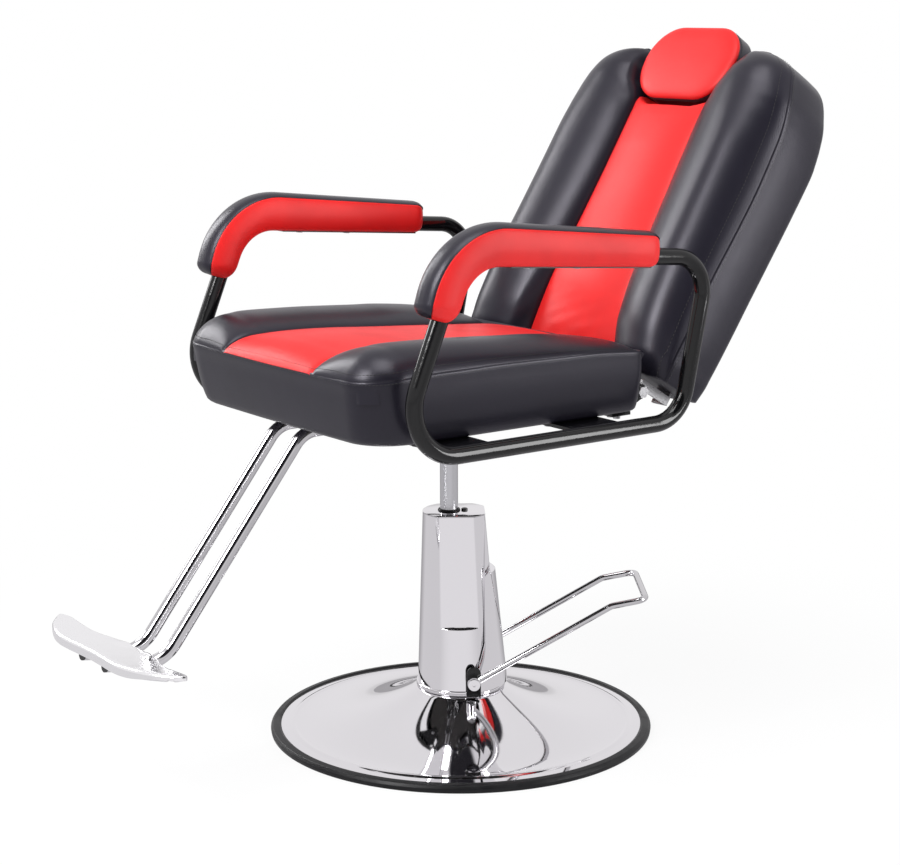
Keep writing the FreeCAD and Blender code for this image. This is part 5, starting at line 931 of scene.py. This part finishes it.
HEAD_HALF = (0.100, 0.111)      # half width at the foot and at the top
HEAD_REAR, HEAD_SPLIT, HEAD_FRONT = -0.021, 0.0137, 0.0268


def on_back(x, n, u):
    """A point in the backrest's own axes: across, out of its front, and up from the hinge."""
    c, s = math.cos(BACK_LEAN), math.sin(BACK_LEAN)
    x, n, u = np.broadcast_arrays(x, n, u)
    return np.stack([x, HINGE_Y - n * c + u * s, HINGE_Z + n * s + u * c], -1)


def back_rows(low, high, count):
    """Heights of the rows, close together at the foot and at the rounded top, and the table's values there."""
    t = np.linspace(0, 1, count)
    u = low + (high - low) * (0.6 * t + 0.4 * np.sin(t * np.pi / 2) ** 1.2)
    return u[:, None], [table(BACK[:, [0, k]], u)[:, None] for k in range(1, 7)]


def closed_ends(P, foot, top):
    """Adds rows that round off both ends: the end section drawn in towards its middle, then closed on it."""
    def end(row, step):
        middle = row.mean(axis=0)
        near = [middle + (row - middle) * share + step * rise
                for share, rise in ((0.975, 0.45), (0.91, 0.8), (0.75, 1.0))]
        return near + [np.broadcast_to(middle + step, row.shape)]
    up = on_back(0, 0, 1.0) - on_back(0, 0, 0)
    return np.stack(end(P[0], -up * foot)[::-1] + list(P) + end(P[-1], up * top))


def under_headrest(x, u, n):
    """Sinks a surface behind the headrest, from a little outside its outline inwards."""
    below = np.maximum((HEAD_FOOT + HEAD_TOP) / 2 - u, 0) - ((HEAD_TOP - HEAD_FOOT) / 2 - HEAD_CORNER)
    clear = corner_distance(np.abs(x) - (HEAD_HALF[0] - HEAD_CORNER), below, HEAD_CORNER)
    sunk = np.minimum(n, HEAD_REAR - 0.003)
    return sunk + (n - sunk) * eased(np.clip((clear - 0.0045) / 0.011, 0, 1))


def cushion(name, x, n, u, ends, finish, node, sharp=50):
    """A padded piece of the backrest, from the outlines of its sections."""
    rows = closed_ends(on_back(x, n, u), *ends)
    skin(name, rows, "backrest", finish, node, sharp=sharp)


# The wing's skin runs from the panel's seam over its crest to the outer seam
u, (w, b, crest, seam, edge, rear) = back_rows(BACK_FOOT, BACK_TOP, 120)
upper = eased(np.clip((u - 0.41) / 0.13, 0, 1))
crest_x = (w + b) / 2 + 0.010 - 0.018 * upper
share = np.linspace(0, 1, 34)
inner = np.sin(share * np.pi / 2)[None] ** 1.15
x_in = b + (crest_x - b) * inner
raised = np.maximum(seam, np.minimum(WING_SHELF, crest - 0.030))
n_in = raised + (crest - raised) * (1 - (1 - inner) ** 2) ** (0.78 - 0.10 * upper)
n_in = n_in + (seam - raised) * np.clip(1 - inner / 0.25, 0, 1) ** 2
outer = 1 - np.sin((1 - share[1:]) * np.pi / 2)[None] ** 1.1
x_out = crest_x + (w - 0.002 - crest_x) * outer
n_out = edge + (crest - edge) * (1 - outer ** 2.1) ** 0.72
wing_x, wing_n = np.hstack([x_in, x_out]), np.hstack([n_in, n_out])
wing_n = wing_n - WING_GROOVE * np.exp(-(wing_x - wing_x[:, :1]) / 0.003)
# Its side, its rear edge, its inner wall, and the two lines along which it is sewn
side_t = np.array([0.0, 0.02, 0.05, 0.12, 0.25, 0.4, 0.55, 0.7, 0.85, 1.0])
side_x = w - 0.002 + WING_SWELL * np.sin(side_t * np.pi * 0.8) - side_t * 0.001
side_x[:, :3] += [-0.0014, -0.0002, 0.0004]
side_n = edge - 0.0008 + (rear + 0.010 - edge) * side_t
edge_x = w - np.array([2.2, 4, 7.5, 12, 14.5, 15, 20, 30]) / 1000
edge_n = rear + np.array([6, 2.8, 0.8, 0, 1, 8, 15, 25]) / 1000
base_x = wing_x[:, :1] + (w - 0.03 - wing_x[:, :1]) * np.linspace(1, 0, 5)
base_n = np.full_like(base_x, BOARD_REAR_N)
ring_x, ring_n = np.hstack([wing_x, side_x, edge_x, base_x]), np.hstack([wing_n, side_n, edge_n, base_n])
last = wing_x.shape[1] - 1 - np.argmax((wing_x < w - 0.0085)[:, ::-1], axis=1)[:, None]
sewn_lines = {"front": (np.take_along_axis(wing_x, last, 1), np.take_along_axis(wing_n, last, 1)),
              "side": (w + 0.0006, edge - 0.0072)}
for side, word in SIDES:
    cushion("back_wing_" + word, side * ring_x, ring_n, u, (0.002, 0.003), black_leather,
            ["back_cushion"] if side > 0 else [], 62)
    for name, (x, n) in sewn_lines.items():
        line = on_back(side * x, n, u)[:, 0]
        out = unit(line - on_back(side * (w - 0.05), edge - 0.03, u)[:, 0])
        stitches("back_thread_" + name + "_" + word, line, out, "backrest", pitch=0.0062, length=0.0042)

# The panel is crowned, tucked in along its seams and a little creased at its foot
u, (w, b, crest, seam, edge, rear) = back_rows(BACK_FOOT, PANEL_TOP, 110)
share = np.linspace(-1, 1, 61)
share = 0.7 * share + 0.3 * np.sin(share * np.pi / 2)
x = (b - 0.0006) * share
fade = np.clip((PANEL_TOP - 0.014 - u) / 0.09, 0, 1) ** 0.5 * np.clip(u / 0.08, 0, 1)
crown = PANEL_CROWN * fade * (1 - np.abs(share) ** 2.2)
tuck = PANEL_TUCK * np.exp(-(b - 0.0006 - np.abs(x)) / 0.0035)
crease = np.sin(x * 95 + 9 * np.sin(u * 31)) * np.exp(-((u - 0.085) / 0.035) ** 2) * (1 - share ** 2)
n = under_headrest(x, u, seam + crown - tuck + PANEL_CREASE * crease)
cushion("back_panel_cover", np.hstack([x, x[:, ::-12]]), np.hstack([n, np.full_like(x[:, ::-12], PANEL_REAR_N)]), u,
        (0.001, 0.002), red_leather, ["back_panel"], 62)

# A saddle closes the gap between the wings above the panel, behind the headrest
u, (w, b, crest, seam, edge, rear) = back_rows(PANEL_TOP - 0.006, BACK_TOP, 40)
share = np.linspace(-1, 1, 49)
x = (b + 0.003) * share
n = under_headrest(x, u, seam) - 0.001 - 0.003 * share ** 2
cushion("back_saddle", np.hstack([x, x[:, ::-8]]), np.hstack([n, np.full_like(x[:, ::-8], BOARD_REAR_N)]), u,
        (0.001, 0.003), black_leather, [])

# The rear panel
u, (w, b, crest, seam, edge, rear) = back_rows(BACK_FOOT, BACK_TOP, 90)
share = np.linspace(-1, 1, 57)
x = (w - REAR_INSET) * share
n = rear - 0.0040 + REAR_CROWN * share ** 2 + 0.0015 * np.exp((np.abs(x) - w + REAR_INSET) / 0.003)
x, n = np.hstack([x, w - 0.0160, 0 * w, 0.0160 - w]), np.hstack([n] + [BOARD_REAR_N - 0.0006 + 0 * w] * 3)
cushion("back_rear_panel", x, n, u, (0.001, 0.003), black_leather, ["back_rear_cover"])

# Headrest. A red pad with rounded corners sewn to a black base, on two steel posts that
# slide in sockets inside the backrest. A drawn-in outline is closed at HEAD_DEEP.
HEAD_DEEP, HEAD_POINTS, PAD_GAP, SEAM_DROP = 0.0655, 168, 0.0004, 0.0048


def head_rings(rows):
    """The headrest's outline carried through rows of (out of the back, drawn in), evenly spaced round it."""
    corners = [(-HEAD_HALF[0], HEAD_FOOT), (HEAD_HALF[0], HEAD_FOOT), (HEAD_HALF[1], HEAD_TOP),
               (-HEAD_HALF[1], HEAD_TOP)]
    line = evenly(softened(corners, HEAD_CORNER, True, 16), HEAD_POINTS, True)
    middle = np.array([0, (HEAD_FOOT + HEAD_TOP) / 2])
    reach = np.abs(line - middle).max(axis=0)
    made = []
    for n, draw in rows:
        keep = np.clip(1 - draw / reach, 0, 1)
        if draw >= 0.03:
            keep = keep ** (1 + (draw - 0.03) * 8) * (draw < HEAD_DEEP)
        place = middle + (line - middle) * keep
        made.append(on_back(place[:, 0], n, place[:, 1]))
    return np.stack(made)


# Drawn in, in mm, and the share of the way from the split to the front
swell = np.array([(1.4, 0.02), (0.4, 0.05), (0, 0.12), (0, 0.24), (0.6, 0.37), (1.8, 0.485), (4, 0.60), (7, 0.70),
                  (11, 0.78), (16, 0.84), (22, 0.89), (29, 0.925), (36, 0.95), (43, 0.97), (50, 0.985), (56, 0.995),
                  (61, 1), (65.5, 1)])
over = head_rings(np.column_stack([HEAD_SPLIT + (HEAD_FRONT - HEAD_SPLIT) * swell[:, 1], swell[:, 0] / 1000]))
pad = np.concatenate([head_rings([(HEAD_SPLIT + PAD_GAP, HEAD_DEEP), (HEAD_SPLIT + PAD_GAP, 0.02)]), over])
skin("headrest_pad", pad, "headrest", red_leather, ["headrest_cushion"], sharp=60)
# Out of the back and drawn in, in mm
under = np.array([(-21, 65.5), (-21, 20), (-20.6, 9.5), (-19, 3.5), (-16.5, 0), (-13, -1.8), (-8.5, -2.8), (0, -3.4),
                  (7.8, -2.7), (11.2, -1.2), (12.8, 1), (13.3, 20), (13.3, 65.5)])
under = head_rings(under / 1000)
skin("headrest_under", under, "headrest", black_leather, ["headrest_base"], sharp=60)
ring = head_rings([(HEAD_SPLIT - SEAM_DROP, -0.0027), (HEAD_SPLIT - SEAM_DROP, 0.02)])
ring = np.concatenate([ring, ring[:, :1]], axis=1)
stitches("headrest_thread", ring[0], unit(ring[0] - ring[1]), "headrest")

# Boards, plastic and bronze. The boards are birch plywood stained black; the plugs and
# the lever's grip are black plastic, and the pump's guide and bushes are cast bronze. The
# rod is ground steel, a little dull beside the chrome.
wood = Finish("stained_plywood", "plywood", (0.020, 0.017, 0.015), 0.6)
grain = wood.noise(30.0, 5.0, (1, 9, 40)).step(0.3, 0.7)
wood.put("Base Color", wood.mix(grain, (0.024, 0.021, 0.019, 1), (0.012, 0.010, 0.009, 1)))
wood.put("Normal", wood.bump(grain, 0.0001))
plastic = Finish("black_plastic", "black_plastic", (0.008, 0.008, 0.009), 0.42)
plastic.worn(plastic.noise(300.0, 3.0), 0.2, 0.32, plastic.noise(1200.0, 2.0), 0.00006)
bronze = Finish("bronze", "bronze", (0.60, 0.38, 0.17), 0.3, 1.0)
bronze.put("Roughness", bronze.noise(80.0, 3.0) * 0.3 + 0.18)
bronze.shade(bronze.noise(40.0, 2.0).step(0.4, 0.8), 0.7)
rod_steel = Finish("ground_steel", "steel", (0.54, 0.54, 0.56), 0.22, 1.0)
rod_steel.worn(rod_steel.noise(40.0, 3.0, (1, 1, 0.2)).step(0.3, 0.8), 0.1, 0.17,
               rod_steel.noise(900.0, 1.0, (1, 1, 6)), 0.00002)

# Fittings that stay as they were made. The steel hinge arms and brackets, bolts, boards,
# bushes and the pump's inside each get the finish of their material.
made_of = {part["node"]: part["material_slot"] for part in frame["record"]["subparts"]}
finishes = (chrome, rubber, black_paint, wood, plastic, bronze, aluminium, black_leather, red_leather)
by_slot = {finish.slot: finish for finish in finishes}
by_name = {"piston_rod": rod_steel, "pump_pedal": darkened_tube_chrome, "pedal_screws": chrome}
for name, node in nodes.items():
    for slot in node.material_slots:
        slot.material = by_name.get(name, by_slot.get(made_of[name], steel)).material

bpy.context.scene.view_settings.view_transform = "Standard"
